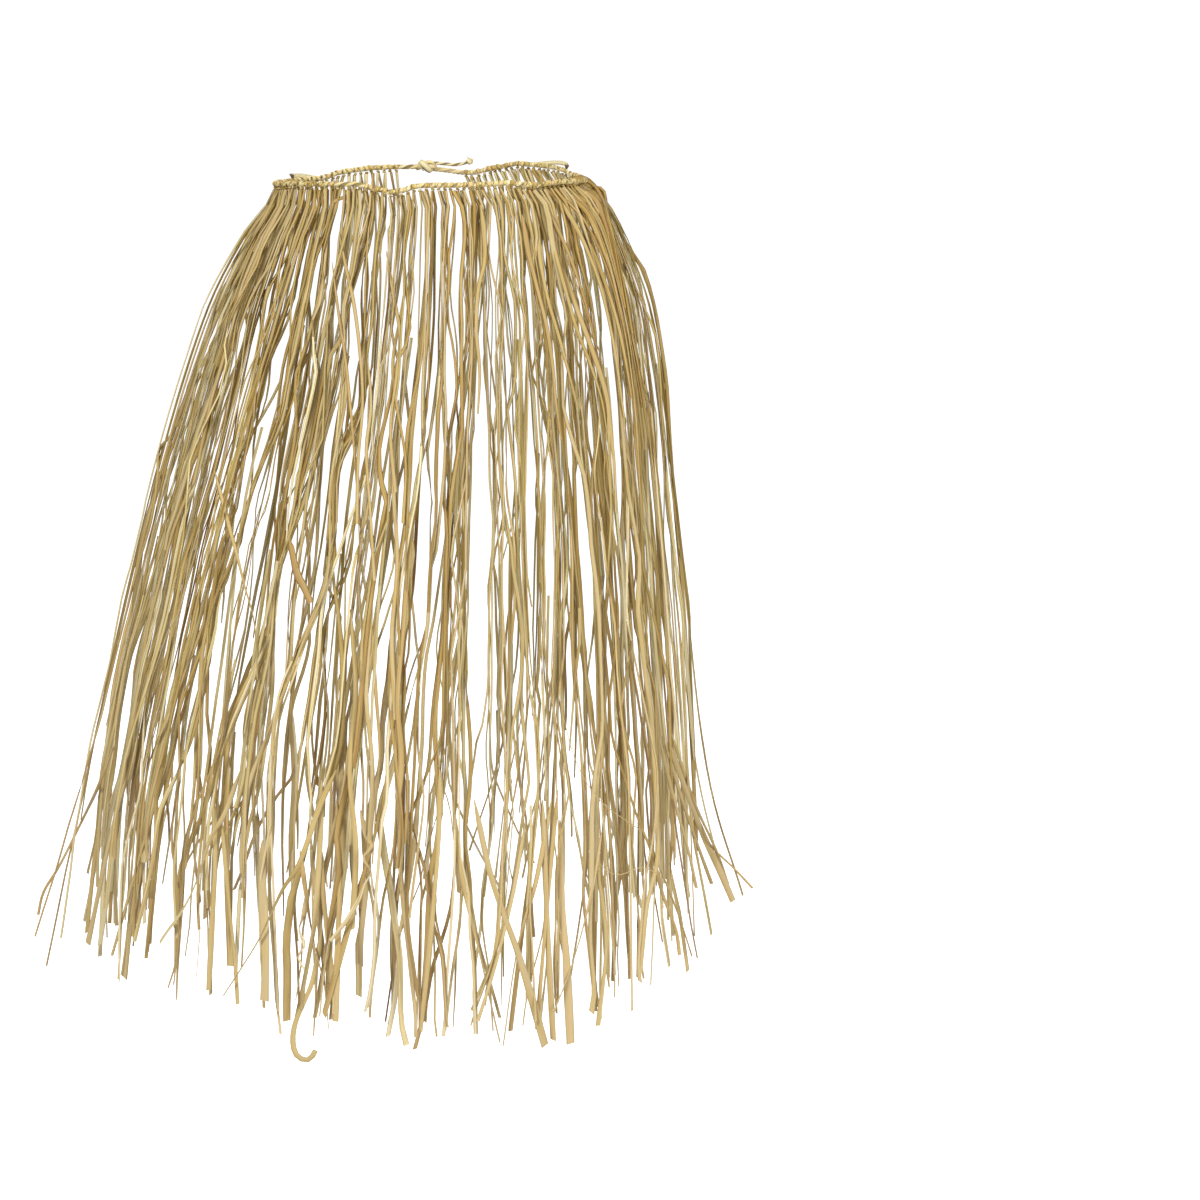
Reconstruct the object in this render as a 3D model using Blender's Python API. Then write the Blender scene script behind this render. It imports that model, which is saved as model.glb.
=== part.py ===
"""Grass skirt: split raffia hitched in a row under a waist cord that is tied at the back.

Metres, +Z up, -Y the wearer's front, +X the wearer's left.
The origin is the middle of the waist, level with the cord.
A turn is counted in degrees from the middle of the back, by the -X end, the front and +X.
"""
import bisect
import math
import random
from collections import namedtuple

import bmesh
import bpy
from mathutils import Vector

# ---------------------------------------------------------------- driving dimensions
WAIST_HALF_WIDTH = 0.145
WAIST_HALF_DEPTH = 0.100
CORD_DIAMETER = 0.0048
SEAM_GAP = 0.0003
CORD_POINTS = 68

LENGTH_SPREAD = 0.014
SHORT_SHARE = 0.18
SHORT_CUT = (0.03, 0.13)
STRAND_WIDTH = 0.0037
STRAND_THICKNESS = 0.0011
ROOT_WIDTH = 0.0034
ROOT_THICKNESS = 0.0014
HEM_SLOPE = 0.16

ROW_LAYERS = 3
BEAD_HEIGHT = 0.0042
NECK_HEIGHT = 0.0036
BEAD_HALF_DEPTH = 0.0025
NECK_HALF_DEPTH = 0.0020
HITCH_TAPER = 0.7
ROW_HALF_GAP = 0.0005
FRINGE_TRIM = 0.06

VIEW_DISTANCE = 3.5
SEED = 41

# Height of the cord round the waist: it lies in soft waves, with one short dip in front.
WAIST_LINE = (
    # turn, rise
    (4, 0.0010), (15, 0.0010), (23, 0.0005), (32, -0.0015), (37, -0.0030), (46, -0.0075),
    (65, -0.0075), (90, -0.0065), (103, -0.0050), (124, -0.0020), (148, 0.0000), (154, 0.0005),
    (158, -0.0027), (162, -0.0044), (167, -0.0067), (170, -0.0045), (173, -0.0010), (180, 0.0000),
    (198, 0.0000), (208, 0.0010), (220, -0.0020), (233, -0.0010), (251, -0.0020), (270, -0.0040),
    (291, -0.0025), (304, 0.0030), (317, 0.0045), (325, 0.0050), (332, 0.0020), (338, -0.0015),
    (342, -0.0043), (346, -0.0050), (350, -0.0040), (356, -0.0015),
)

# Reach of the skirt's outer face from the waist's middle, at each depth below the cord.
# layer_step is the distance from one layer of strands to the next, going inwards, wander is
# how far a strand may drift sideways from its place, and twist how far it may turn, in degrees.
Level = namedtuple("Level", "drop left right front back layer_step wander twist")
FLARE = (
    # drop, left, right, front, back, layer_step, wander, twist
    Level(0.0070, 0.145, 0.145, 0.100, 0.100, 0.0000, 0.0000, 0),
    Level(0.0220, 0.153, 0.163, 0.108, 0.107, 0.0017, 0.0003, 0),
    Level(0.0600, 0.178, 0.184, 0.130, 0.128, 0.0031, 0.0040, 10),
    Level(0.1400, 0.217, 0.211, 0.163, 0.158, 0.0043, 0.0080, 28),
    Level(0.3000, 0.268, 0.230, 0.202, 0.193, 0.0054, 0.0110, 65),
    Level(0.5600, 0.330, 0.250, 0.239, 0.227, 0.0064, 0.0130, 90),
    Level(0.7800, 0.362, 0.262, 0.264, 0.252, 0.0074, 0.0160, 90),
)

# Length of the strands round the waist: the hem is uneven.
STRAND_LENGTHS = (
    # turn, length
    (0, 0.774), (60, 0.776), (90, 0.774), (118, 0.752), (150, 0.766), (180, 0.780),
    (215, 0.778), (245, 0.764), (270, 0.756), (300, 0.766), (360, 0.774),
)

# Upright slits that run through the front and back walls in line with each other.
# across and width are taken at the skirt's middle plane.
SLITS = (
    # ((drop, across, width), ...) from the top of the slit to its bottom
    ((0.04, 0.027, 0.006), (0.11, 0.020, 0.010), (0.18, 0.015, 0.008), (0.22, 0.015, 0.000)),
    ((0.04, 0.060, 0.010), (0.09, 0.058, 0.008), (0.12, 0.057, 0.000)),
    ((0.12, 0.045, 0.000), (0.21, 0.046, 0.011), (0.36, 0.046, 0.021), (0.60, 0.044, 0.018),
     (0.66, 0.046, 0.018), (0.75, 0.034, 0.014)),
    ((0.24, 0.094, 0.004), (0.31, 0.092, 0.011), (0.40, 0.096, 0.012), (0.50, 0.096, 0.008),
     (0.60, 0.101, 0.009), (0.75, 0.106, 0.014)),
    ((0.14, 0.166, 0.006), (0.20, 0.174, 0.008), (0.26, 0.178, 0.004)),
    ((0.31, 0.142, 0.006), (0.40, 0.148, 0.012), (0.50, 0.154, 0.009), (0.60, 0.140, 0.010),
     (0.75, 0.150, 0.018)),
    ((0.24, -0.172, 0.008), (0.31, -0.174, 0.015), (0.36, -0.177, 0.013), (0.45, -0.200, 0.008),
     (0.52, -0.210, 0.000)),
    ((0.30, -0.100, 0.006), (0.36, -0.100, 0.009), (0.46, -0.102, 0.008), (0.52, -0.104, 0.000)),
    ((0.20, -0.014, 0.006), (0.26, -0.014, 0.010), (0.42, -0.014, 0.006), (0.55, 0.000, 0.008),
     (0.66, -0.010, 0.010), (0.75, 0.006, 0.010)),
    ((0.38, -0.162, 0.006), (0.46, -0.146, 0.012), (0.60, -0.146, 0.014), (0.70, -0.128, 0.020)),
    ((0.09, -0.090, 0.006), (0.15, -0.073, 0.009), (0.21, -0.078, 0.007), (0.30, -0.070, 0.004)),
    ((0.45, 0.072, 0.006), (0.60, 0.074, 0.008), (0.75, 0.070, 0.007)),
    ((0.66, -0.040, 0.008), (0.70, -0.056, 0.012), (0.76, -0.050, 0.020)),
    ((0.64, -0.258, 0.008), (0.70, -0.236, 0.018), (0.76, -0.240, 0.020)),
)

# Stiff strands that stand well clear of the rest near the hem.
STRAY_BEND = 6
STRAY_SPREAD = 1.0
STRAYS = (
    # turn, extra reach at the tip, drop of the tip
    (100, 0.068, 0.712),
    (88, 0.024, 0.768),
    (264, 0.080, 0.693),
    (281, 0.068, 0.706),
)

# The bare stretch at the back closes by this many degrees a side towards the hem, and the
# strands within OPENING_SPREAD degrees of it lean over to fill it.
OPENING_CLOSES = 6.0
OPENING_SPREAD = 25.0

# Stretches of the row of hitches; the waist is bare between the last and the first.
FRINGES = (
    # name, first turn, last turn, hitches, colour
    ("fringe_back_left", 12.0, 90.0, 28, (0.50, 0.38, 0.20, 1.0)),
    ("fringe_front", 90.0, 270.0, 68, (0.58, 0.45, 0.24, 1.0)),
    ("fringe_back_right", 270.0, 347.5, 28, (0.52, 0.40, 0.21, 1.0)),
)

KNOT_CENTRE = Vector((-0.0035, 0.1000, 0.0015))
KNOT_HALF_SIZE = Vector((0.0098, 0.0062, 0.0066))
TAIL_DIAMETER = 0.0034
# The free end's route, from the knot's side to its own end knot.
TAIL_ROUTE = (
    # across, depth, rise
    (0.0055, 0.1040, 0.0040), (0.0130, 0.1048, 0.0034), (0.0200, 0.1050, 0.0026),
    (0.0270, 0.1048, 0.0026), (0.0341, 0.1046, 0.0044),
)
TAIL_KNOT_CENTRE = Vector((0.0378, 0.1045, 0.0056))
TAIL_KNOT_HALF_SIZE = Vector((0.0036, 0.0030, 0.0038))

TAB_THICKNESS = 0.0009
TAB_LIFT = 0.0004
# Flat ends of the cord's spliced strands, lying along the top of the cord.
TABS = (
    # name, (turn, height above the cord, half width) from the root to the cut end
    ("cord_end_left", ((46.5, 0.0002, 0.0008), (50, 0.0004, 0.0016), (57, 0.0006, 0.0021),
                       (65, 0.0008, 0.0021))),
    ("cord_end_right", ((316, 0.0000, 0.0007), (312, 0.0004, 0.0014), (304, 0.0030, 0.0016),
                        (300, 0.0042, 0.0016), (297, 0.0036, 0.0013))),
)

UP = Vector((0.0, 0.0, 1.0))


# ---------------------------------------------------------------- shared geometry
def neighbours(rows, place):
    """The rows on either side of place, in a table sorted on its first column, and the share."""
    keys = [row[0] for row in rows]
    place = min(max(place, keys[0]), keys[-1])
    after = min(max(bisect.bisect_right(keys, place), 1), len(rows) - 1)
    low, high = rows[after - 1], rows[after]
    return low, high, (place - low[0]) / (high[0] - low[0])


def between(rows, place):
    """Row values at place, by straight interpolation."""
    low, high, share = neighbours(rows, place)
    return [a + (b - a) * share for a, b in zip(low, high)]


def eased(rows, place):
    """The second column at place, eased so that the line has no corners."""
    low, high, share = neighbours(rows, place)
    return low[1] + (high[1] - low[1]) * share * share * (3.0 - 2.0 * share)


def waist_curve(turn):
    """The smooth line of the cord's middle."""
    angle = math.radians(turn)
    return Vector((-WAIST_HALF_WIDTH * math.sin(angle),
                   WAIST_HALF_DEPTH * math.cos(angle),
                   eased(WAIST_LINE, turn)))


def waist_point(turn):
    """The cord's middle as it is built, on the straight stretch between two of its points."""
    return Vector(between(CORD_LINE, turn)[1:])


def outward(turn, half_width=WAIST_HALF_WIDTH, half_depth=WAIST_HALF_DEPTH):
    """Level direction that points straight out of the waist oval."""
    angle = math.radians(turn)
    return Vector((-math.sin(angle) * half_depth, math.cos(angle) * half_width, 0.0)).normalized()


def even_turns(first, last, steps):
    """Turns from first to last, the same length of cord apart."""
    fine = 720
    turns = [first + (last - first) * i / fine for i in range(fine + 1)]
    lengths = [0.0]
    for a, b in zip(turns, turns[1:]):
        lengths.append(lengths[-1] + (waist_curve(b) - waist_curve(a)).length)
    table = list(zip(lengths, turns))
    return [between(table, lengths[-1] * i / steps)[1] for i in range(steps + 1)]


def smooth_route(points, steps):
    """Points on a smooth curve through a route, evenly spaced along it."""
    ends = [points[0] * 2 - points[1]] + list(points) + [points[-1] * 2 - points[-2]]
    fine = []
    for a, b, c, d in zip(ends, ends[1:], ends[2:], ends[3:]):
        for i in range(12):
            t = i / 12
            fine.append(0.5 * (2 * b + (c - a) * t + (2 * a - 5 * b + 4 * c - d) * t ** 2
                               + (3 * b - a - 3 * c + d) * t ** 3))
    fine.append(points[-1])
    lengths = [0.0]
    for a, b in zip(fine, fine[1:]):
        lengths.append(lengths[-1] + (b - a).length)
    table = [(length, *point) for length, point in zip(lengths, fine)]
    return [Vector(between(table, lengths[-1] * i / steps)[1:]) for i in range(steps + 1)]


def cord_line():
    """Turn and place of each point of the cord, from one side of the knot to the other."""
    reach = KNOT_HALF_SIZE.x + SEAM_GAP
    first = math.degrees(math.asin((reach - KNOT_CENTRE.x) / WAIST_HALF_WIDTH))
    last = 360.0 - math.degrees(math.asin((reach + KNOT_CENTRE.x) / WAIST_HALF_WIDTH))
    return [(turn, *waist_curve(turn)) for turn in even_turns(first, last, CORD_POINTS - 1)]


CORD_LINE = cord_line()


# ---------------------------------------------------------------- scene helpers
def clear_scene():
    for obj in list(bpy.data.objects):
        bpy.data.objects.remove(obj, do_unlink=True)


def raffia(name, colour):
    material = bpy.data.materials.new(name)
    material.use_nodes = True
    shader = material.node_tree.nodes["Principled BSDF"]
    shader.inputs["Base Color"].default_value = colour
    shader.inputs["Roughness"].default_value = 0.6
    shader.inputs["Metallic"].default_value = 0.0
    return material


def add_object(name, data, colour):
    data.materials.append(raffia(name + "_raffia", colour))
    obj = bpy.data.objects.new(name, data)
    bpy.context.collection.objects.link(obj)
    return obj


def add_mesh(name, bm, colour):
    """Makes an object of a finished bmesh."""
    mesh = bpy.data.meshes.new(name)
    bm.to_mesh(mesh)
    bm.free()
    return add_object(name, mesh, colour)


def add_tube(name, points, diameter, colour):
    curve = bpy.data.curves.new(name, "CURVE")
    curve.dimensions = "3D"
    curve.bevel_depth = diameter / 2
    curve.bevel_resolution = 2
    curve.use_fill_caps = True
    spline = curve.splines.new("POLY")
    spline.points.add(len(points) - 1)
    for place, point in zip(spline.points, points):
        place.co = (*point, 1.0)
    return add_object(name, curve, colour)


# ---------------------------------------------------------------- how each strand hangs
def slit_push(across, drop):
    """How far a strand moves sideways to leave the slits near it open."""
    push = 0.0
    for slit in SLITS:
        if not slit[0][0] <= drop <= slit[-1][0]:
            continue
        _, middle, width = between(slit, drop)
        away = across - middle
        half = width / 2
        if half > 0.0:
            push += math.copysign(half * math.exp(-abs(away) / (3 * half)), away)
    return push


def wall_point(turn, level, layer, extra_reach):
    """A point in one layer of the skirt's wall, at one level of FLARE."""
    half_width, middle_x = (level.left + level.right) / 2, (level.right - level.left) / 2
    half_depth, middle_y = (level.front + level.back) / 2, (level.back - level.front) / 2
    angle = math.radians(turn)
    point = Vector((middle_x - half_width * math.sin(angle),
                    middle_y + half_depth * math.cos(angle), -level.drop))
    inwards = layer * level.layer_step - extra_reach
    return point - outward(turn, half_width, half_depth) * inwards


def drifted_turn(turn, level, layer, drift):
    """The turn after a strand has drifted sideways and cleared the slits.

    Near the two ends of the waist, where the wall runs away from the front, slits fade out.
    """
    half_width = (level.left + level.right) / 2
    half_depth = (level.front + level.back) / 2
    angle = math.radians(turn)
    pace = math.hypot(half_width * math.cos(angle), half_depth * math.sin(angle))
    turn += math.degrees(drift / pace)
    point = wall_point(turn, level, layer, 0.0)
    nearness = 1.0 + point.y / VIEW_DISTANCE
    push = slit_push(point.x / nearness, level.drop) * nearness
    facing = math.cos(math.radians(turn))
    return turn - math.degrees(push * facing / (half_width * max(facing ** 2, 0.15)))


def leaned_turn(turn, far):
    """The turn of a strand that leans towards the bare stretch at the back."""
    first, last = FRINGES[0][1], FRINGES[-1][2]
    ahead = math.exp(-(turn - first) / OPENING_SPREAD)
    behind = math.exp(-(last - turn) / OPENING_SPREAD)
    return turn + OPENING_CLOSES * far * (behind - ahead)


def strand_plan(turn, layer, draw):
    """Centre line, twists and width of one strand, with a point for each level of FLARE."""
    lean = draw.uniform(-0.6, 0.6)
    bow = draw.uniform(-0.4, 0.4)
    flick = draw.uniform(-0.9, 0.9)
    spin = draw.uniform(-1.0, 1.0)
    width = STRAND_WIDTH * draw.uniform(0.8, 1.1)
    uneven = max(-1.8, min(1.8, draw.gauss(0.0, 1.0)))
    length = between(STRAND_LENGTHS, turn)[1] + uneven * LENGTH_SPREAD
    if draw.random() < SHORT_SHARE:
        length -= draw.uniform(*SHORT_CUT)
    extra_reach, tip_drop = 0.0, None
    for stray_turn, reach, drop in STRAYS:
        if layer == 0 and abs(turn - stray_turn) < STRAY_SPREAD:
            extra_reach, tip_drop = reach, drop
    points, twists = [waist_point(turn)], [0.0]
    gone = 0.0
    for number, level in enumerate(FLARE[1:], 1):
        far = number / (len(FLARE) - 1)
        drift = lean * far + bow * math.sin(math.pi * far)
        if far == 1.0:
            drift = flick
            run = (length - gone) / math.hypot(1.0, HEM_SLOPE)
            drop = tip_drop or min(FLARE[-2].drop + run, FLARE[-1].drop)
            level = Level(*between(FLARE, drop))
        place = leaned_turn(turn, far) if number > 1 else turn
        place = drifted_turn(place, level, layer, drift * level.wander)
        reach = extra_reach * (level.drop / FLARE[-1].drop) ** STRAY_BEND
        point = wall_point(place, level, layer, reach)
        point.z += points[0].z * (1.0 - min(1.0, level.drop / FLARE[2].drop))
        gone += (point - points[-1]).length
        points.append(point)
        twists.append(math.radians(level.twist) * spin)
    return points, twists, width


# ---------------------------------------------------------------- fringe
def hitch_section(turn, bead):
    """Six corners across the row of hitches, as labelled points."""
    half_depth = BEAD_HALF_DEPTH if bead else NECK_HALF_DEPTH
    middle = waist_point(turn)
    out = outward(turn)
    top = -CORD_DIAMETER / 2 - SEAM_GAP
    bottom = top - (BEAD_HEIGHT if bead else NECK_HEIGHT)
    return [middle + out * side + UP * height for side, height in (
        (-half_depth * HITCH_TAPER, top), (half_depth * HITCH_TAPER, top),
        (half_depth, bottom), (ROW_HALF_GAP, bottom),
        (-ROW_HALF_GAP, bottom), (-half_depth, bottom))]


def strand_corner(corner, centre, out, along, width, thickness, twist):
    """One of the four corners of a strand's section: bit 1 is along, bit 2 is out."""
    wide = along * math.cos(twist) + out * math.sin(twist)
    thick = out * math.cos(twist) - along * math.sin(twist)
    side = 1.0 if corner & 1 else -1.0
    face = 1.0 if corner & 2 else -1.0
    return centre + wide * (side * width / 2) + thick * (face * thickness / 2)


def build_hitches(bm, turns, place):
    """The row of hitches, extruded section by section; returns each strand's root face."""
    section = hitch_section(turns[0], False)
    verts = [bm.verts.new(point) for point in section]
    for index, vert in enumerate(verts):
        vert[place] = index + 1
    loop = [bm.edges.new((verts[i], verts[(i + 1) % len(verts)])) for i in range(len(verts))]
    bmesh.ops.contextual_create(bm, geom=loop)
    roots = []
    for number, turn in enumerate(turns[1:], 1):
        grown = bmesh.ops.extrude_edge_only(bm, edges=loop)["geom"]
        section = hitch_section(turn, number % 2 == 1)
        for vert in [g for g in grown if isinstance(g, bmesh.types.BMVert)]:
            vert.co = section[vert[place] - 1]
        loop = [g for g in grown if isinstance(g, bmesh.types.BMEdge)
                and all(v in grown for v in g.verts)]
        outer_row = number % 2 == 1
        wanted = {3, 4} if outer_row else {5, 6}
        for face in [g for g in grown if isinstance(g, bmesh.types.BMFace)]:
            if {vert[place] for vert in face.verts} == wanted:
                roots.append((face, (turns[number - 1] + turn) / 2, outer_row))
    bmesh.ops.contextual_create(bm, geom=loop)
    return roots


def label_root(face, turn, corner):
    """Numbers a root face's corners by the side of the strand that they start."""
    out = outward(turn)
    along = UP.cross(out)
    middle = face.calc_center_median()
    for vert in face.verts:
        away = vert.co - middle
        vert[corner] = (1 if away.dot(along) > 0 else 0) + (2 if away.dot(out) > 0 else 0)


def build_fringe(name, first, last, hitches, colour, draw):
    """One stretch of the row: each hitch carries an outer and an inner strand.

    Neighbours in a row lie in different layers, so that they can cross without touching.
    """
    bm = bmesh.new()
    place = bm.verts.layers.int.new("place")
    corner = bm.verts.layers.int.new("corner")
    strand = bm.faces.layers.int.new("strand")
    turns = even_turns(first + FRINGE_TRIM, last - FRINGE_TRIM, hitches * 2)
    tips = []
    plans = []
    for index, (face, turn, outer_row) in enumerate(build_hitches(bm, turns, place)):
        layer = (index // 2) % ROW_LAYERS + (0 if outer_row else ROW_LAYERS)
        label_root(face, turn, corner)
        face[strand] = index
        tips.append(face)
        plans.append((turn, *strand_plan(turn, layer, draw)))
    for level in range(1, len(FLARE)):
        tips = bmesh.ops.extrude_discrete_faces(bm, faces=tips)["faces"]
        for face in tips:
            turn, points, twists, width = plans[face[strand]]
            thickness = STRAND_THICKNESS
            if level == 1:
                width, thickness = min(width, ROOT_WIDTH), ROOT_THICKNESS
            out = outward(turn)
            for vert in face.verts:
                vert.co = strand_corner(vert[corner], points[level], out, UP.cross(out), width,
                                        thickness, twists[level])
    bmesh.ops.recalc_face_normals(bm, faces=bm.faces)
    return add_mesh(name, bm, colour)


# ---------------------------------------------------------------- cord, knots and tabs
def build_waist_cord():
    """The ring of cord and both ties, as one length from one side of the knot to the other."""
    points = [Vector(row[1:]) for row in CORD_LINE]
    return add_tube("waist_cord", points, CORD_DIAMETER, (0.55, 0.42, 0.22, 1.0))


def build_knot(name, centre, half_size, lobes, colour):
    """A pulled-tight knot: an oval lump with rounded ridges winding round it."""
    bm = bmesh.new()
    bmesh.ops.create_uvsphere(bm, u_segments=14, v_segments=10, radius=1.0)
    for vert in bm.verts:
        angle = math.atan2(vert.co.z, vert.co.y)
        ridge = 0.90 + 0.10 * math.cos(lobes * angle + 2.4 * vert.co.x)
        vert.co = Vector((vert.co.x * half_size.x, vert.co.y * half_size.y * ridge,
                          vert.co.z * half_size.z * ridge)) + centre
    bmesh.ops.recalc_face_normals(bm, faces=bm.faces)
    return add_mesh(name, bm, colour)


def build_tie_tail():
    points = smooth_route([Vector(row) for row in TAIL_ROUTE], 6)
    return add_tube("tie_tail", points, TAIL_DIAMETER, (0.60, 0.47, 0.26, 1.0))


def build_tab(name, rows):
    """A flat strip that lies on the cord and lifts off it towards its cut end."""
    bm = bmesh.new()
    corner = bm.verts.layers.int.new("corner")
    face = None
    for turn, lift, half_width in rows:
        base = waist_point(turn) + UP * (CORD_DIAMETER / 2 + TAB_LIFT + lift)
        reach = outward(turn) * (TAB_THICKNESS / 2)
        rise = UP * (2 * half_width)
        corners = [base - reach, base + reach, base + reach + rise, base - reach + rise]
        if face is None:
            face = bm.faces.new([bm.verts.new(point) for point in corners])
            for index, vert in enumerate(face.verts):
                vert[corner] = index
            continue
        face = bmesh.ops.extrude_discrete_faces(bm, faces=[face])["faces"][0]
        for vert in face.verts:
            vert.co = corners[vert[corner]]
    bmesh.ops.holes_fill(bm, edges=bm.edges, sides=4)
    bmesh.ops.recalc_face_normals(bm, faces=bm.faces)
    return add_mesh(name, bm, (0.52, 0.44, 0.26, 1.0))


# ---------------------------------------------------------------- build
def build_skirt():
    clear_scene()
    draw = random.Random(SEED)
    for name, first, last, hitches, colour in FRINGES:
        build_fringe(name, first, last, hitches, colour, draw)
    build_waist_cord()
    build_knot("tie_knot", KNOT_CENTRE, KNOT_HALF_SIZE, 3, (0.60, 0.48, 0.28, 1.0))
    build_tie_tail()
    build_knot("tail_knot", TAIL_KNOT_CENTRE, TAIL_KNOT_HALF_SIZE, 2, (0.62, 0.50, 0.30, 1.0))
    for name, rows in TABS:
        build_tab(name, rows)


build_skirt()
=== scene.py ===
"""Raffia grass skirt: its finish, fine form and stage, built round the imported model.

Metres, +Z up, -Y the wearer's front, +X the right side of the skirt seen from the front.
The origin is the middle of the waist, level with the cord.
A turn is counted in degrees from the middle of the back, by the -X end, the front and +X.
"""
import bisect
import math
import random
from collections import namedtuple

import bmesh
import bpy
from bpy.props import FloatProperty, FloatVectorProperty, IntProperty, PointerProperty
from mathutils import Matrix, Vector


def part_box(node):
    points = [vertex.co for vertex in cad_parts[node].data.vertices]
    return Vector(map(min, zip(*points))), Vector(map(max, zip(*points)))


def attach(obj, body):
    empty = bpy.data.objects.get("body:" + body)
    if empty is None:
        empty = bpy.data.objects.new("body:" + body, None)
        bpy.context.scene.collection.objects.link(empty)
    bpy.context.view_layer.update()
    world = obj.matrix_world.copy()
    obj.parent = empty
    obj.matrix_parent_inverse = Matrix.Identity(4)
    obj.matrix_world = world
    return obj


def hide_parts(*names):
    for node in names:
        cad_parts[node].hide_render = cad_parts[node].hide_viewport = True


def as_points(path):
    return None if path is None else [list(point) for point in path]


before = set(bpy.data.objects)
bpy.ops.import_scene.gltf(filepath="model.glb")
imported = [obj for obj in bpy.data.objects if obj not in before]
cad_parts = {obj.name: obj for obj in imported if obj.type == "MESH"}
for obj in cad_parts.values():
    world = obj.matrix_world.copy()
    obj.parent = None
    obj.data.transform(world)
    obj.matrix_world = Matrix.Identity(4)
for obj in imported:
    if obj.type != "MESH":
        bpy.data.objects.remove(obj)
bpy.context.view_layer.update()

bl_info = {
    "name": "Raffia Grass Skirt",
    "version": (1, 0, 0),
    "blender": (4, 5, 0),
    "location": "3D View > Sidebar > Grass Skirt",
    "description": "Dresses the packed skirt in split raffia, with its cord, knots and stage",
    "category": "Object",
}

UP = Vector((0.0, 0.0, 1.0))
BODY = "root"
MM = 0.001

# ---------------------------------------------------------------- the skirt's plan
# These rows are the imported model's own, so that every ribbon follows the bar it stands for.
SEAM_GAP = 0.0003
CORD_POINTS = 68
LENGTH_SPREAD = 0.014
SHORT_SHARE = 0.18
SHORT_CUT = (0.03, 0.13)
HEM_SLOPE = 0.16
ROW_LAYERS = 3
FRINGE_TRIM = 0.06
VIEW_DISTANCE = 3.5
PLAN_SEED = 41

# How far a strand leans, bows and flicks at its tip, in parts of its level's wander, and how
# uneven its length is at most, in parts of LENGTH_SPREAD.
LEAN = 0.6
BOW = 0.4
FLICK = 0.9
MOST_UNEVEN = 1.8
# Below this share of facing the front, a slit's push dies out.
LEAST_FACING = 0.15

WAIST_LINE = (
    # turn, rise of the cord
    (4, 0.0010), (15, 0.0010), (23, 0.0005), (32, -0.0015), (37, -0.0030), (46, -0.0075),
    (65, -0.0075), (90, -0.0065), (103, -0.0050), (124, -0.0020), (148, 0.0000), (154, 0.0005),
    (158, -0.0027), (162, -0.0044), (167, -0.0067), (170, -0.0045), (173, -0.0010), (180, 0.0000),
    (198, 0.0000), (208, 0.0010), (220, -0.0020), (233, -0.0010), (251, -0.0020), (270, -0.0040),
    (291, -0.0025), (304, 0.0030), (317, 0.0045), (325, 0.0050), (332, 0.0020), (338, -0.0015),
    (342, -0.0043), (346, -0.0050), (350, -0.0040), (356, -0.0015),
)

Level = namedtuple("Level", "drop left right front back layer_step wander twist")
Oval = namedtuple("Oval", "half_width middle_x half_depth middle_y")
FLARE = (
    # drop, left, right, front, back, layer_step, wander, twist
    Level(0.0070, 0.145, 0.145, 0.100, 0.100, 0.0000, 0.0000, 0),
    Level(0.0220, 0.153, 0.163, 0.108, 0.107, 0.0017, 0.0003, 0),
    Level(0.0600, 0.178, 0.184, 0.130, 0.128, 0.0031, 0.0040, 10),
    Level(0.1400, 0.217, 0.211, 0.163, 0.158, 0.0043, 0.0080, 28),
    Level(0.3000, 0.268, 0.230, 0.202, 0.193, 0.0054, 0.0110, 65),
    Level(0.5600, 0.330, 0.250, 0.239, 0.227, 0.0064, 0.0130, 90),
    Level(0.7800, 0.362, 0.262, 0.264, 0.252, 0.0074, 0.0160, 90),
)

STRAND_LENGTHS = (
    # turn, length
    (0, 0.774), (60, 0.776), (90, 0.774), (118, 0.752), (150, 0.766), (180, 0.780),
    (215, 0.778), (245, 0.764), (270, 0.756), (300, 0.766), (360, 0.774),
)

SLITS = (
    # ((drop, across, width), ...) from the top of the slit to its bottom
    ((0.04, 0.027, 0.006), (0.11, 0.020, 0.010), (0.18, 0.015, 0.008), (0.22, 0.015, 0.000)),
    ((0.04, 0.060, 0.010), (0.09, 0.058, 0.008), (0.12, 0.057, 0.000)),
    ((0.12, 0.045, 0.000), (0.21, 0.046, 0.011), (0.36, 0.046, 0.021), (0.60, 0.044, 0.018),
     (0.66, 0.046, 0.018), (0.75, 0.034, 0.014)),
    ((0.24, 0.094, 0.004), (0.31, 0.092, 0.011), (0.40, 0.096, 0.012), (0.50, 0.096, 0.008),
     (0.60, 0.101, 0.009), (0.75, 0.106, 0.014)),
    ((0.14, 0.166, 0.006), (0.20, 0.174, 0.008), (0.26, 0.178, 0.004)),
    ((0.31, 0.142, 0.006), (0.40, 0.148, 0.012), (0.50, 0.154, 0.009), (0.60, 0.140, 0.010),
     (0.75, 0.150, 0.018)),
    ((0.24, -0.172, 0.008), (0.31, -0.174, 0.015), (0.36, -0.177, 0.013), (0.45, -0.200, 0.008),
     (0.52, -0.210, 0.000)),
    ((0.30, -0.100, 0.006), (0.36, -0.100, 0.009), (0.46, -0.102, 0.008), (0.52, -0.104, 0.000)),
    ((0.20, -0.014, 0.006), (0.26, -0.014, 0.010), (0.42, -0.014, 0.006), (0.55, 0.000, 0.008),
     (0.66, -0.010, 0.010), (0.75, 0.006, 0.010)),
    ((0.38, -0.162, 0.006), (0.46, -0.146, 0.012), (0.60, -0.146, 0.014), (0.70, -0.128, 0.020)),
    ((0.09, -0.090, 0.006), (0.15, -0.073, 0.009), (0.21, -0.078, 0.007), (0.30, -0.070, 0.004)),
    ((0.45, 0.072, 0.006), (0.60, 0.074, 0.008), (0.75, 0.070, 0.007)),
    ((0.66, -0.040, 0.008), (0.70, -0.056, 0.012), (0.76, -0.050, 0.020)),
    ((0.64, -0.258, 0.008), (0.70, -0.236, 0.018), (0.76, -0.240, 0.020)),
)

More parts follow.
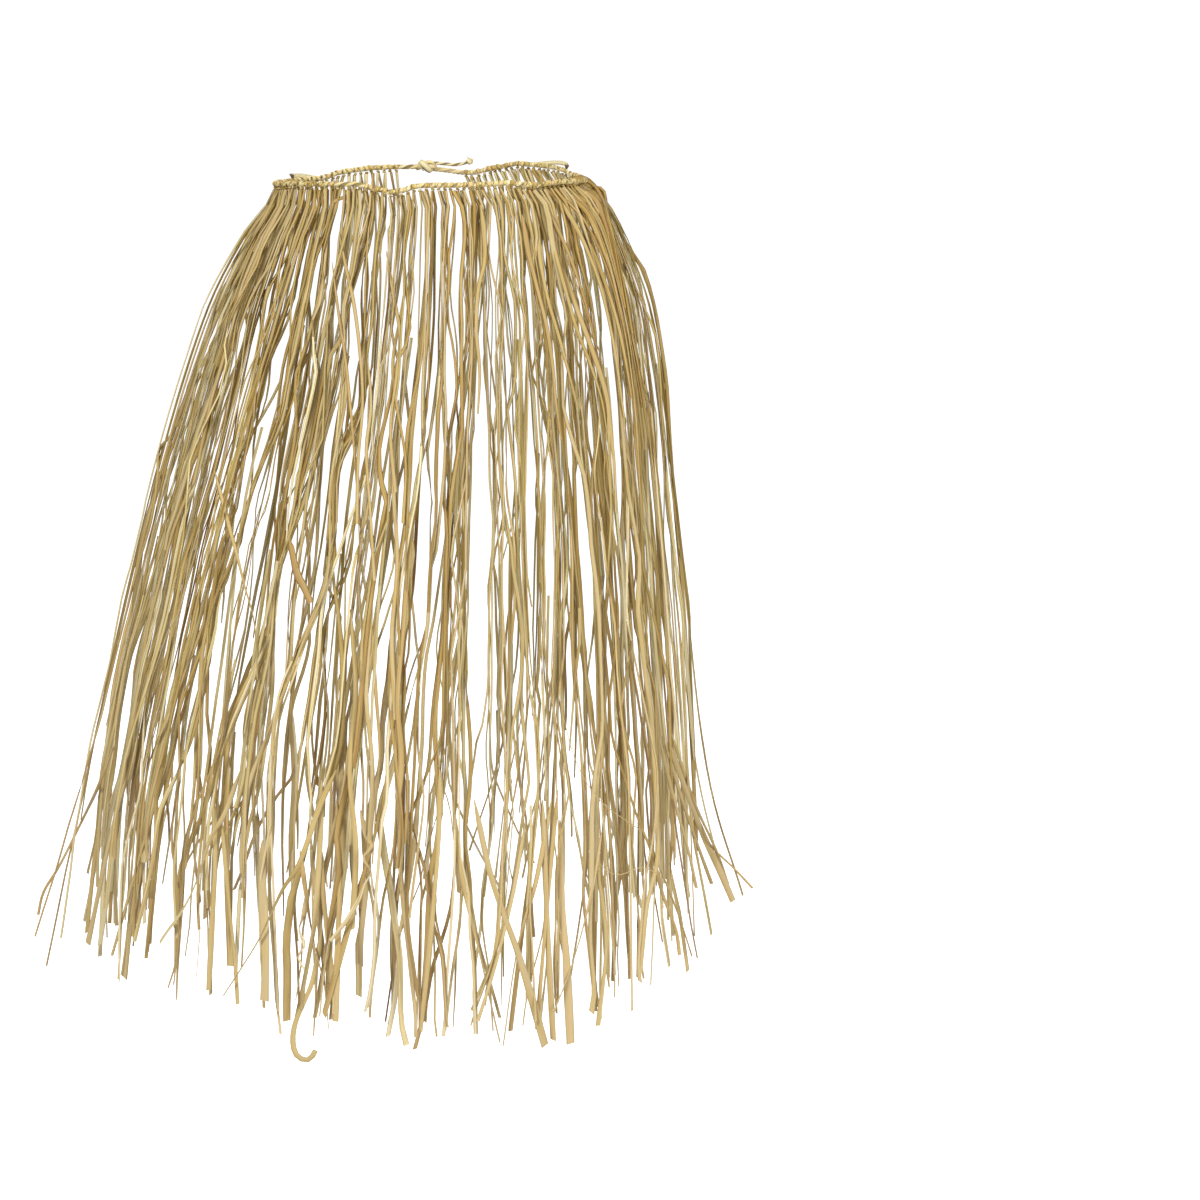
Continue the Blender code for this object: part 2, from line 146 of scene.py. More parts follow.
STRAY_BEND = 6
STRAY_SPREAD = 1.0
STRAYS = (
    # turn, extra reach at the tip, drop of the tip
    (100, 0.068, 0.712),
    (88, 0.024, 0.768),
    (264, 0.080, 0.693),
    (281, 0.068, 0.706),
)
OPENING_CLOSES = 6.0
OPENING_SPREAD = 25.0

FRINGES = (
    # name, first turn, last turn, hitches
    ("fringe_back_left", 12.0, 90.0, 28),
    ("fringe_front", 90.0, 270.0, 68),
    ("fringe_back_right", 270.0, 347.5, 28),
)
FRINGE_NAMES = [fringe[0] for fringe in FRINGES]

TAIL_ROUTE = (
    # across, depth, rise
    (0.0055, 0.1040, 0.0040), (0.0130, 0.1048, 0.0034), (0.0200, 0.1050, 0.0026),
    (0.0270, 0.1048, 0.0026), (0.0341, 0.1046, 0.0044),
)


# ---------------------------------------------------------------- numbers and routes
def linear(code):
    """Turns an sRGB hex colour into linear red, green and blue."""
    shares = [int(code[i:i + 2], 16) / 255 for i in (1, 3, 5)]
    return tuple(s / 12.92 if s <= 0.04045 else ((s + 0.055) / 1.055) ** 2.4 for s in shares)


def opaque(colour):
    """A colour with full alpha, for a shader's socket."""
    return (*colour, 1.0)


def clamp(value, low=0.0, high=1.0):
    return max(low, min(high, value))


def neighbours(rows, place):
    """The rows on either side of place, in a table sorted on its first column, and the share."""
    keys = [row[0] for row in rows]
    place = clamp(place, keys[0], keys[-1])
    after = clamp(bisect.bisect_right(keys, place), 1, len(rows) - 1)
    low, high = rows[after - 1], rows[after]
    return low, high, (place - low[0]) / (high[0] - low[0])


def between(rows, place):
    """Row values at place, by straight interpolation."""
    low, high, share = neighbours(rows, place)
    return [a + (b - a) * share for a, b in zip(low, high)]


def smooth_share(share):
    """0 to 1 with a gentle start and end."""
    share = clamp(share)
    return share * share * (3.0 - 2.0 * share)


def eased(rows, place):
    """The second column at place, eased so that the line has no corners."""
    low, high, share = neighbours(rows, place)
    return low[1] + (high[1] - low[1]) * smooth_share(share)


class Route:
    """A smooth curve through points, read by the distance along it."""

    def __init__(self, points, fineness=12):
        ends = [points[0] * 2 - points[1]] + list(points) + [points[-1] * 2 - points[-2]]
        self.places = []
        for a, b, c, d in zip(ends, ends[1:], ends[2:], ends[3:]):
            for i in range(fineness):
                t = i / fineness
                self.places.append(0.5 * (2 * b + (c - a) * t + (2 * a - 5 * b + 4 * c - d) * t ** 2
                                          + (3 * b - a - 3 * c + d) * t ** 3))
        self.places.append(points[-1].copy())
        self.marks = [0.0]
        for a, b in zip(self.places, self.places[1:]):
            self.marks.append(self.marks[-1] + (b - a).length)
        self.length = self.marks[-1]

    def at(self, mark):
        mark = clamp(mark, 0.0, self.length)
        after = clamp(bisect.bisect_right(self.marks, mark), 1, len(self.marks) - 1)
        span = self.marks[after] - self.marks[after - 1]
        share = (mark - self.marks[after - 1]) / span if span else 0.0
        return self.places[after - 1].lerp(self.places[after], share)

    def marks_of(self, steps):
        """The distances of evenly spaced points along the route."""
        return [self.length * index / steps for index in range(steps + 1)]

    def even(self, steps):
        return [self.at(mark) for mark in self.marks_of(steps)]


class Waist:
    """The line of the waist cord, straight between its points as the solid cord is."""

    def __init__(self, sizes):
        self.half_width = sizes.waist_half_width
        self.half_depth = sizes.waist_half_depth
        knot_low, knot_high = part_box("tie_knot")
        first = math.degrees(math.asin((knot_low.x - SEAM_GAP) / -self.half_width))
        last = 360.0 - math.degrees(math.asin((knot_high.x + SEAM_GAP) / self.half_width))
        self.line = [(turn, *self.curve(turn)) for turn in
                     self.even_turns(first, last, CORD_POINTS - 1)]

    def curve(self, turn):
        angle = math.radians(turn)
        return Vector((-self.half_width * math.sin(angle), self.half_depth * math.cos(angle),
                       eased(WAIST_LINE, turn)))

    def point(self, turn):
        return Vector(between(self.line, turn)[1:])

    def outward(self, turn):
        return outward(turn, self.half_width, self.half_depth)

    def even_turns(self, first, last, steps):
        """Turns from first to last, the same length of cord apart."""
        fine = 720
        turns = [first + (last - first) * i / fine for i in range(fine + 1)]
        lengths = [0.0]
        for a, b in zip(turns, turns[1:]):
            lengths.append(lengths[-1] + (self.curve(b) - self.curve(a)).length)
        table = list(zip(lengths, turns))
        return [between(table, lengths[-1] * i / steps)[1] for i in range(steps + 1)]


def outward(turn, half_width, half_depth):
    """Level direction that points straight out of an oval."""
    angle = math.radians(turn)
    return Vector((-math.sin(angle) * half_depth, math.cos(angle) * half_width, 0.0)).normalized()


# ---------------------------------------------------------------- how each strand hangs
def slit_push(across, drop):
    """How far a strand moves sideways to leave the slits near it open."""
    push = 0.0
    for slit in SLITS:
        if not slit[0][0] <= drop <= slit[-1][0]:
            continue
        _, middle, width = between(slit, drop)
        away = across - middle
        half = width / 2
        if half > 0.0:
            push += math.copysign(half * math.exp(-abs(away) / (3 * half)), away)
    return push


def wall_oval(level):
    """The skirt's outline at one level: its half sizes and its middle."""
    return Oval((level.left + level.right) / 2, (level.right - level.left) / 2,
                (level.front + level.back) / 2, (level.back - level.front) / 2)


def wall_point(turn, level, layer, extra_reach):
    """A point in one layer of the skirt's wall, at one level of FLARE."""
    wall = wall_oval(level)
    angle = math.radians(turn)
    point = Vector((wall.middle_x - wall.half_width * math.sin(angle),
                    wall.middle_y + wall.half_depth * math.cos(angle), -level.drop))
    inwards = layer * level.layer_step - extra_reach
    return point - outward(turn, wall.half_width, wall.half_depth) * inwards


def drifted_turn(turn, level, layer, drift):
    """The turn after a strand has drifted sideways and cleared the slits.

    Near the two ends of the waist, where the wall runs away from the front, slits fade out.
    """
    wall = wall_oval(level)
    angle = math.radians(turn)
    pace = math.hypot(wall.half_width * math.cos(angle), wall.half_depth * math.sin(angle))
    turn += math.degrees(drift / pace)
    point = wall_point(turn, level, layer, 0.0)
    nearness = 1.0 + point.y / VIEW_DISTANCE
    push = slit_push(point.x / nearness, level.drop) * nearness
    facing = math.cos(math.radians(turn))
    return turn - math.degrees(push * facing / (wall.half_width * max(facing ** 2, LEAST_FACING)))


def leaned_turn(turn, far):
    """The turn of a strand that leans towards the bare stretch at the back."""
    first, last = FRINGES[0][1], FRINGES[-1][2]
    ahead = math.exp(-(turn - first) / OPENING_SPREAD)
    behind = math.exp(-(last - turn) / OPENING_SPREAD)
    return turn + OPENING_CLOSES * far * (behind - ahead)


def strand_plan(waist, turn, layer, draw):
    """Centre line and twists of one strand, with a point for each level of FLARE."""
    lean = draw.uniform(-LEAN, LEAN)
    bow = draw.uniform(-BOW, BOW)
    flick = draw.uniform(-FLICK, FLICK)
    spin = draw.uniform(-1.0, 1.0)
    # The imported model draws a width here, which its strips don't share.
    draw.random()
    uneven = clamp(draw.gauss(0.0, 1.0), -MOST_UNEVEN, MOST_UNEVEN)
    length = between(STRAND_LENGTHS, turn)[1] + uneven * LENGTH_SPREAD
    if draw.random() < SHORT_SHARE:
        length -= draw.uniform(*SHORT_CUT)
    extra_reach, tip_drop = 0.0, None
    for stray_turn, reach, drop in STRAYS:
        if layer == 0 and abs(turn - stray_turn) < STRAY_SPREAD:
            extra_reach, tip_drop = reach, drop
    points, twists = [waist.point(turn)], [0.0]
    gone = 0.0
    for number, level in enumerate(FLARE[1:], 1):
        far = number / (len(FLARE) - 1)
        drift = lean * far + bow * math.sin(math.pi * far)
        if far == 1.0:
            drift = flick
            run = (length - gone) / math.hypot(1.0, HEM_SLOPE)
            drop = tip_drop or min(FLARE[-2].drop + run, FLARE[-1].drop)
            level = Level(*between(FLARE, drop))
        place = leaned_turn(turn, far) if number > 1 else turn
        place = drifted_turn(place, level, layer, drift * level.wander)
        reach = extra_reach * (level.drop / FLARE[-1].drop) ** STRAY_BEND
        point = wall_point(place, level, layer, reach)
        point.z += points[0].z * (1.0 - min(1.0, level.drop / FLARE[2].drop))
        gone += (point - points[-1]).length
        points.append(point)
        twists.append(math.radians(level.twist) * spin)
    return points, twists


# ---------------------------------------------------------------- ribbons of leaf
ROW_OFFSET = 0.0013
ROOT_DROP = 0.0048
ROOT_SPREAD = 0.0006
NECK_PULL = 0.0010
STATION_STEP = 0.016
LEAF_THICKNESS = 0.0008

# The small bends of a strip: where they lie, and how they grow from the hitch and fade again.
FIRST_KINK = (0.012, 0.030)
KINK_SPACING = (0.030, 0.110)
KINK_CLEARANCE = 0.012
KINK_START = 0.35
KINK_GROWTH = 3
KINK_FADE = 0.6
KINK_FLATNESS = 0.35
STRAIGHT_TIP = 0.03

# How a strip's width changes from the hitch down to its tip, in parts of its usual width.
GATHERED_LENGTH = 0.016
GATHERED_SHARE = 0.95
WIDEST_GATHERED = 0.0040
NECK_SHARE = 0.9
WIDTH_SPACING = (0.04, 0.12)
WIDTH_SPREAD = (0.75, 1.20)
OPENED_TOP = 0.83
OPENED_MORE = 0.20
FLAT_SHARE = 0.12
FLAT_WIDTH = (1.25, 1.7)
WIDEST_LEAF = 0.0085
EVEN_TIP = 0.05
TIP_LENGTH = 0.03
POINTED_SHARE = 0.18
POINTED_TIP = (0.15, 0.45)
NARROWEST_TIP = 0.0014
BROAD_SHARE = 0.27
BROAD_TIP = (1.2, 1.6)
CUT_TIP = 0.95

# How a strip turns about its line.
TWIST_SHARE = 0.45
SIDE_FACING = (0.60, 1.05)
EDGE_ON = 0.20
FLIP_COUNTS = (0, 0, 1, 1, 2)
FLIP_MARGIN = 0.06
FLIP_LENGTH = (0.016, 0.036)

# How a strip is folded along its ridge, and how light it is. A crease value sets both the depth of the
# step beside the ridge and how dark the painted shade next to that step is.
FOLDS = (0.12, 0.55)
FLATTENS_OVER = 0.45
FLATTER = 0.55
RIDGES = (-0.35, 0.45)
CREASES_AND_SHADE = (0.2, 0.7, 1.0)
CURLS = (-0.1, 0.2)
TIP_SLANT = 0.9
STRIP_TONE = (0.50, 0.29)
BEND_SPREAD = (0.5, 1.3)

# The long ends that stray from the skirt narrow on their way down.
STRAY_WIDTH = (0.0024, 0.0034)
STRAY_TAPER = 0.45
STRAY_TAPERS_FROM = 0.25
STRAY_TAPERS_OVER = 0.35
STRAY_TIP = 0.0019

# Each end that hangs from a hitch is left whole or split in two.
STRIP_COUNTS = (1, 1, 1, 2)
STRIP_WIDTHS = (
    # share of the strips, narrowest, widest
    (0.28, 0.0017, 0.0023),
    (0.48, 0.0023, 0.0032),
    (0.24, 0.0032, 0.0050),
)

# Strips tangle into bundles, and leave them again, at these distances from the hitch.
BUNDLE_MARK_SPREAD = 0.020
BUNDLE_REACH = 0.0065
BUNDLE_SKIP = 0.34
BUNDLES = (
    # distance down, fewest and most strips, least and greatest pull, scatter
    (0.034, 1, 4, 0.00, 0.80, 0.0036), (0.072, 2, 5, 0.10, 1.00, 0.0056),
    (0.118, 2, 6, 0.10, 1.00, 0.0058), (0.170, 2, 6, 0.20, 1.10, 0.0052),
    (0.225, 3, 7, 0.30, 1.10, 0.0050), (0.285, 3, 7, 0.30, 1.10, 0.0048),
    (0.350, 3, 7, 0.30, 1.10, 0.0048), (0.420, 3, 8, 0.30, 1.10, 0.0048),
    (0.490, 3, 8, 0.30, 1.10, 0.0048), (0.565, 3, 8, 0.30, 1.10, 0.0048),
    (0.635, 3, 8, 0.20, 1.00, 0.0044),
)

# The larger openings between the bundles, as they are seen from the front in the plane of the
# waist's middle: the drop below the waist of an opening's top and bottom, how far across its top
# and bottom lie, and its greatest width. An opening at the hem is widest at its bottom.
Opening = namedtuple("Opening", "top bottom top_across bottom_across width at_hem")
OPENINGS = (
    # the left of the middle, downwards
    Opening(25, 100, -88, -92, 10, False),
    Opening(75, 130, -107, -112, 6, False),
    Opening(100, 160, -88, -90, 9, False),
    Opening(120, 225, -78, -70, 10, False),
    Opening(170, 230, -154, -147, 9, False),
    Opening(135, 170, -177, -181, 5, False),
    Opening(245, 390, -172, -188, 14, False),
    Opening(255, 370, -149, -155, 5, False),
    Opening(240, 400, -102, -106, 9, False),
    Opening(275, 390, -89, -86, 10, False),
    Opening(210, 310, -13, -20, 7, False),
    Opening(280, 445, -10, -13, 10, False),
    Opening(390, 560, -202, -212, 12, False),
    Opening(330, 435, -167, -159, 9, False),
    Opening(375, 495, -147, -146, 12, False),
    Opening(495, 665, -144, -148, 17, False),
    Opening(400, 550, -99, -100, 11, False),
    Opening(395, 500, -45, -54, 9, False),
    Opening(475, 575, -60, -61, 8, False),
    Opening(445, 575, -6, -10, 8, False),
    Opening(520, 600, -190, -190, 7, False),
    Opening(545, 635, -235, -240, 10, False),
    Opening(495, 605, -221, -222, 8, False),
    Opening(445, 585, -286, -308, 10, False),
    Opening(580, 675, -127, -128, 9, False),
    Opening(620, 710, -150, -153, 15, False),
    Opening(655, 745, -125, -134, 17, False),
    Opening(690, 805, -65, -70, 12, False),
    # the right of the middle, downwards
    Opening(40, 140, 29, 15, 10, False),
    Opening(25, 100, 58, 58, 12, False),
    Opening(50, 105, 139, 151, 8, False),
    Opening(140, 220, 17, 15, 11, False),
    Opening(140, 205, 40, 48, 8, False),
    Opening(100, 150, 91, 93, 6, False),
    Opening(110, 150, 114, 128, 6, False),
    Opening(120, 330, 164, 178, 11, False),
    Opening(145, 610, 44, 42, 22, False),
    Opening(560, 705, 42, 42, 19, False),
    Opening(185, 495, 92, 95, 14, False),
    Opening(255, 485, 110, 111, 12, False),
    Opening(280, 555, 139, 157, 13, False),
    Opening(380, 575, 57, 58, 7, False),
    Opening(415, 505, 77, 75, 7, False),
    Opening(435, 665, 126, 143, 12, False),
    Opening(595, 755, 11, 5, 15, False),
    Opening(675, 765, 52, 53, 12, False),
    Opening(675, 750, 97, 97, 11, False),
    Opening(625, 745, 126, 123, 10, False),
    Opening(640, 740, 137, 133, 10, False),
    # the hem, from left to right
    Opening(505, 650, -316, -343, 21, True),
    Opening(605, 765, -260, -267, 24, True),
    Opening(635, 790, -238, -240, 25, True),
    Opening(635, 805, -206, -210, 13, True),
    Opening(635, 815, -181, -182, 23, True),
    Opening(705, 805, -156, -151, 10, True),
    Opening(745, 815, -139, -141, 10, True),
    Opening(685, 820, -49, -56, 23, True),
    Opening(735, 840, -33, -28, 13, True),
    Opening(755, 825, 3, 1, 12, True),
    Opening(695, 840, 30, 22, 19, True),
    Opening(745, 835, 110, 108, 15, True),
    Opening(735, 815, 144, 140, 21, True),
    Opening(685, 805, 179, 181, 12, True),
    Opening(695, 780, 207, 212, 25, True),
    Opening(605, 695, 234, 237, 8, True),
    Opening(650, 695, 245, 250, 10, True),
    Opening(645, 695, 256, 273, 19, True),
)
OPENING_ROWS = 5
OPENING_TIP = 3

# From how high the openings are seen. How far they push a strip at most, from how far away, and
# how much farther than their edge. The high ones are narrower, and a strip moves little near
# the cord.
VIEW_HEIGHT = 0.29
OPENING_PUSH = 0.020
OPENING_REACH = 0.045
OPENING_BEYOND = (-0.0015, 0.0045)
HIGH_OPENING = 0.75
HIGH_DROP = 0.5
OPENING_SLOPE = 0.15
TOP_LEAN = 0.17

# How deep in an opening of the hem a strip hangs that is cut short there, and where it is cut.
HEM_DEPTH = 0.005
HEM_CUT = (-0.010, 0.045)
HEM_CLEARANCE = 0.01

# How much of its width a strip keeps clear of an opening, and from where it moves straight across.
STRIP_CLEARANCE = 0.40
SIDE_ON = 0.5

# Where the strips hang wider open, seen from the front.
FULLNESS = (
    # drop, across, reach in drop, reach across, extra width
    (0.04, 0.115, 0.06, 0.050, 0.50),
    (0.06, -0.150, 0.07, 0.035, 0.35),
    (0.22, 0.005, 0.20, 0.030, 0.20),
    (0.42, -0.045, 0.16, 0.030, 0.25),
    (0.58, -0.085, 0.12, 0.030, 0.60),
    (0.72, -0.035, 0.12, 0.040, 0.30),
    (0.78, -0.100, 0.09, 0.045, 0.40),
    (0.32, -0.165, 0.14, 0.030, -0.35),
    (0.65, 0.000, 0.14, 0.022, -0.30),
    (0.62, 0.110, 0.12, 0.028, -0.35),
    (0.33, -0.255, 0.12, 0.050, -0.17),
    (0.46, -0.310, 0.14, 0.040, -0.17),
    (0.32, -0.190, 0.12, 0.040, -0.14),
    (0.14, 0.035, 0.14, 0.035, -0.25),
    (0.46, 0.030, 0.22, 0.040, -0.22),
    (0.46, 0.120, 0.24, 0.050, -0.18),
    (0.55, 0.230, 0.20, 0.040, -0.15),
    (0.12, 0.000, 0.06, 0.300, -0.12),
    (0.17, 0.145, 0.09, 0.050, -0.22),
)

# How much shorter than planned the strips are cut, where the hem rises.
TRIMS = (
    # turn, length cut off
    (0, 0.0), (240, 0.0), (256, 0.025), (266, 0.055), (284, 0.050), (300, 0.010), (360, 0.0),
)

# The share of the strips that are cut short, how much more of them round one turn of the waist,
# and how much of its length such a strip loses.
CUT_SHORT = 0.26
SPARSE_EXTRA = 0.40
SPARSE_TURN = 92.0
SPARSE_SPREAD = 24.0
CUT_OFF = (0.02, 0.16)
TIP_SPREAD = 0.012

# How much of its outward spread a strip inside the outline has yet to make, by drop. The power
# says how close to the outline that ends.
OUTLINE_SHARE = 2.5
HANGS_STRAIGHT = ((0.0, 0.0), (0.03, 0.40), (0.09, 0.50), (0.18, 0.40), (0.34, 0.18), (0.56, 0.0),
                  (1.0, 0.0))

# How the free ends lean off: where the lean starts, before the tip, and a share of the strips
# with the usual lean of their last stretch.
FREE_END = (0.12, 0.28)
# The last stretch that no bundle takes in, and how much of the lean a stray end keeps.
FREE_OF_BUNDLES = 0.09
STRAY_LEAN = 0.1
FREE_LEANS = (
    # share, sideways, outwards
    (0.62, 0.008, 0.003),
    (0.38, 0.024, 0.006),
)

Strand = namedtuple("Strand", "fringe turn out side route twists stray inner")
# A section's edges say how far each corner takes the dark edge colour, which stands both for the
# leaf's dried edge and for painted shade.
Section = namedtuple("Section", "corners across edges mark tone")
LeafShape = namedtuple("LeafShape", "ridge mirror crease curl")


def plan_strands(sizes):
    """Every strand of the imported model, in its order, with a smooth route for its middle."""
    waist = Waist(sizes)
    draw = random.Random(PLAN_SEED)
    strands = []
    for name, first, last, hitches in FRINGES:
        turns = waist.even_turns(first + FRINGE_TRIM, last - FRINGE_TRIM, hitches * 2)
        for index in range(hitches * 2):
            turn = (turns[index] + turns[index + 1]) / 2
            inner = index % 2
            layer = (index // 2) % ROW_LAYERS + inner * ROW_LAYERS
            points, twists = strand_plan(waist, turn, layer, draw)
            out = waist.outward(turn)
            points[0] += out * (-ROW_OFFSET if inner else ROW_OFFSET) - UP * ROOT_DROP
            stray = layer == 0 and any(abs(turn - row[0]) < STRAY_SPREAD for row in STRAYS)
            strands.append(Strand(name, turn, out, UP.cross(out), Route(points), twists, stray,
                                  inner))
    return strands


def split_strands(strands, draw):
    """The strips that each hanging end is split into. A stray end is left whole."""
    strips = []
    for strand in strands:
        strips += [strand] * (1 if strand.stray else draw.choice(STRIP_COUNTS))
    return strips


def bundle_tables(strips, draw):
    """For each strip, rows of distance, sideways and outward offset that tangle it into bundles."""
    tables = [[(0.0, NECK_PULL * (1 - 2 * strip.inner) + draw.gauss(0.0, ROOT_SPREAD),
                draw.gauss(0.0, ROOT_SPREAD * 0.6))] for strip in strips]
    for level, fewest, most, least, greatest, scatter in BUNDLES:
        start = 0
        while start < len(strips):
            group = range(start, min(start + draw.randint(fewest, most), len(strips)))
            start = group[-1] + 1
            places = [strips[number].route.at(level) for number in group]
            centre = sum(places, Vector()) / len(places)
            for number, place in zip(group, places):
                if strips[number].stray or draw.random() < BUNDLE_SKIP:
                    continue
                mark = level + draw.uniform(-BUNDLE_MARK_SPREAD, BUNDLE_MARK_SPREAD)
                away = (centre - place).dot(strips[number].side) * draw.uniform(least, greatest)
                away = clamp(away, -BUNDLE_REACH, BUNDLE_REACH)
                tables[number].append((mark, away + draw.gauss(0.0, scatter),
                                       draw.gauss(0.0, scatter * 0.5)))
    for table, strip in zip(tables, strips):
        end_table(table, strip, draw)
    return tables


def end_table(table, strip, draw):
    """Cuts a strip's rows to its length, and adds the rows of its free end."""
    length = strip.route.length
    if not strip.stray:
        length -= between(TRIMS, strip.turn)[1]
        near = math.exp(-((strip.turn - SPARSE_TURN) / SPARSE_SPREAD) ** 2)
        is_short = draw.random() < CUT_SHORT + SPARSE_EXTRA * near
        length *= 1.0 - (draw.uniform(*CUT_OFF) if is_short else 0.0)
        length -= draw.uniform(0.0, TIP_SPREAD)
    while table[-1][0] > length - FREE_OF_BUNDLES:
        table.pop()
    _, sideways, outwards = FREE_LEANS[0 if draw.random() < FREE_LEANS[0][0] else 1]
    steadiness = STRAY_LEAN if strip.stray else 1.0
    lean = draw.gauss(0.0, sideways) * steadiness
    tilt = draw.gauss(0.0, outwards) * steadiness
    last = table[-1]
    begin = max(length - draw.uniform(*FREE_END), last[0])
    if begin > last[0]:
        table.append((begin, last[1], last[2]))
    table.append((length, last[1] + lean, last[2] + tilt))


def seen(point):
    """Drop and place across of a point, as seen from the front in the plane y = 0."""
    nearness = VIEW_DISTANCE / (VIEW_DISTANCE + point.y)
    return -(VIEW_HEIGHT + (point.z - VIEW_HEIGHT) * nearness), point.x * nearness


def smoothed(values):
    """A row of numbers with its corners rounded off. The first and last stay as they are."""
    inner = [(a + 2 * b + c) / 4 for a, b, c in zip(values, values[1:], values[2:])]
    return [values[0], *inner, values[-1]]


def opening_rows(opening):
    """Drop, place across and width of an opening, in rows from its top to its bottom."""
    rows = []
    for index in range(OPENING_ROWS):
        share = index / (OPENING_ROWS - 1)
        swell = share if opening.at_hem else math.sin(math.pi * share)
        drop = opening.top + (opening.bottom - opening.top) * share
        across = opening.top_across + (opening.bottom_across - opening.top_across) * share
        rows.append((drop * MM, across * MM, max(OPENING_TIP, opening.width * swell) * MM))
    return rows


def opening_moves(points, widths, draw):
    """How far the points of a strip's middle move across, to leave the openings clear."""
    places = [seen(point) for point in points]
    moves = [0.0] * len(points)
    for opening in OPENINGS:
        rows = opening_rows(opening)
        top, bottom = rows[0][0], rows[-1][0]
        inside = [index for index, place in enumerate(places) if top <= place[0] <= bottom]
        if not inside:
            continue
        gaps = []
        for index in inside:
            _, middle, width = between(rows, places[index][0])
            lower = smooth_share(places[index][0] / HIGH_DROP)
            width *= HIGH_OPENING + (1.0 - HIGH_OPENING) * lower
            gaps.append((abs(places[index][0] - (top + bottom) / 2), index,
                         places[index][1] + moves[index] - middle, width))
        if abs(min(gaps)[2]) > OPENING_REACH:
            continue
        heading = math.copysign(1.0, min(gaps)[2])
        beyond = draw.uniform(*OPENING_BEYOND)
        peaks = []
        for _, index, away, width in gaps:
            push = width / 2 + widths[index] * STRIP_CLEARANCE - away * heading
            if push > 0.0:
                peaks.append((places[index][0], min(push + beyond, OPENING_PUSH)))
        if peaks:
            for index, (drop, _) in enumerate(places):
                push = max(reach - OPENING_SLOPE * abs(drop - where) for where, reach in peaks)
                moves[index] += heading * max(0.0, push)
    return smoothed([clamp(move, -TOP_LEAN * drop, TOP_LEAN * drop)
                     for move, (drop, _) in zip(moves, places)])


def hem_cut(points, draw):
    """The number of points a strip keeps, where it hangs in one of the hem's wide openings."""
    cut = len(points)
    for opening in OPENINGS:
        if not opening.at_hem:
            continue
        rows = opening_rows(opening)
        for index, point in enumerate(points[:cut]):
            drop, across = seen(point)
            if drop < rows[0][0]:
                continue
            _, middle, width = between(rows, drop)
            if abs(across - middle) < width / 2 - HEM_DEPTH:
                cut = min(cut, index + max(0, round(draw.uniform(*HEM_CUT) / STATION_STEP)))
                break
    return cut


def straightened(points):
    """The points of a strip's middle, drawn in so that it hangs straighter inside the outline."""
    moved = []
    for point in points:
        wall = wall_oval(Level(*between(FLARE, max(0.0, -point.z))))
        inside = 1.0 - min(1.0, abs((point.x - wall.middle_x) / wall.half_width)) ** OUTLINE_SHARE
        pull = between(HANGS_STRAIGHT, -point.z)[1] * inside
        moved.append(point + Vector(((points[0].x - point.x) * pull, 0.0, 0.0)))
    return moved


def fullness(point):
    """How much wider a strip hangs open at a point."""
    drop, across = seen(point)
    extra = 0.0
    for drop_there, across_there, reach_drop, reach_across, amount in FULLNESS:
        away = ((drop - drop_there) / reach_drop) ** 2 + ((across - across_there) / reach_across) ** 2
        extra += amount * math.exp(-away)
    return 1.0 + extra


def strip_width(draw):
    """How wide a strip is."""
    pick = draw.random()
    for share, low, high in STRIP_WIDTHS:
        if pick < share:
            return draw.uniform(low, high)
        pick -= share
    return STRIP_WIDTHS[1][1]


def bend_rows(table, bend, draw):
    """The bundle rows with small bends between them, which die out towards the free end."""
    length = table[-1][0]
    rows = list(table)
    mark = draw.uniform(*FIRST_KINK)
    while mark < length - STRAIGHT_TIP:
        if min(abs(mark - row[0]) for row in table) > KINK_CLEARANCE:
            _, sideways, outwards = between(table, mark)
            lower = smooth_share(mark / length * 2 - 1)
            loose = min(1.0, KINK_START + mark * KINK_GROWTH) * (1.0 - KINK_FADE * lower)
            rows.append((mark, sideways + draw.gauss(0.0, bend) * loose,
                         outwards + draw.gauss(0.0, bend * KINK_FLATNESS) * loose))
        mark += draw.uniform(*KINK_SPACING)
    return sorted(rows)


def width_table(length, width, draw):
    """Rows of distance and width: gathered in the hitch, opened here and there, cut at the tip."""
    rows = [(0.0, min(width, WIDEST_GATHERED) * GATHERED_SHARE),
            (GATHERED_LENGTH, width * NECK_SHARE)]
    mark = GATHERED_LENGTH + draw.uniform(*WIDTH_SPACING)
    while mark <= length - EVEN_TIP:
        opened = OPENED_TOP + OPENED_MORE * smooth_share(mark / length)
        if draw.random() < FLAT_SHARE:
            opened *= draw.uniform(*FLAT_WIDTH)
        rows.append((mark, min(width * draw.uniform(*WIDTH_SPREAD) * opened, WIDEST_LEAF)))
        mark += draw.uniform(*WIDTH_SPACING)
    rows.append((length - TIP_LENGTH, rows[-1][1]))
    tip = draw.random()
    if tip < POINTED_SHARE:
        rows.append((length, max(NARROWEST_TIP, width * draw.uniform(*POINTED_TIP))))
    elif tip < POINTED_SHARE + BROAD_SHARE:
        rows.append((length, width * draw.uniform(*BROAD_TIP)))
    else:
        rows.append((length, rows[-1][1] * CUT_TIP))
    return rows


def twist_table(strand, length, draw):
    """Rows of distance and turn: the plan's slow twist. Beside them, a few quick half turns."""
    spans = [0.0]
    for low, high in zip(FLARE, FLARE[1:]):
        spans.append(spans[-1] + math.hypot(high.drop - low.drop, high.front - low.front))
    facing = draw.uniform(*SIDE_FACING) * draw.choice((-1, 1))
    facing *= math.acos(min(1.0, abs(strand.side.x)))
    if abs(strand.side.x) > EDGE_ON:
        facing = math.copysign(facing, -strand.side.x * strand.side.y)
    slow = TWIST_SHARE * abs(strand.side.x)
    rows = [(length * span / spans[-1], twist * slow + facing * smooth_share(number / 2))
            for number, (span, twist) in enumerate(zip(spans, strand.twists))]
    flips = []
    for _ in range(draw.choice(FLIP_COUNTS)):
        flips.append((draw.uniform(FLIP_MARGIN, length - FLIP_MARGIN), draw.uniform(*FLIP_LENGTH),
                      draw.choice((-math.pi, math.pi))))
    return rows, flips


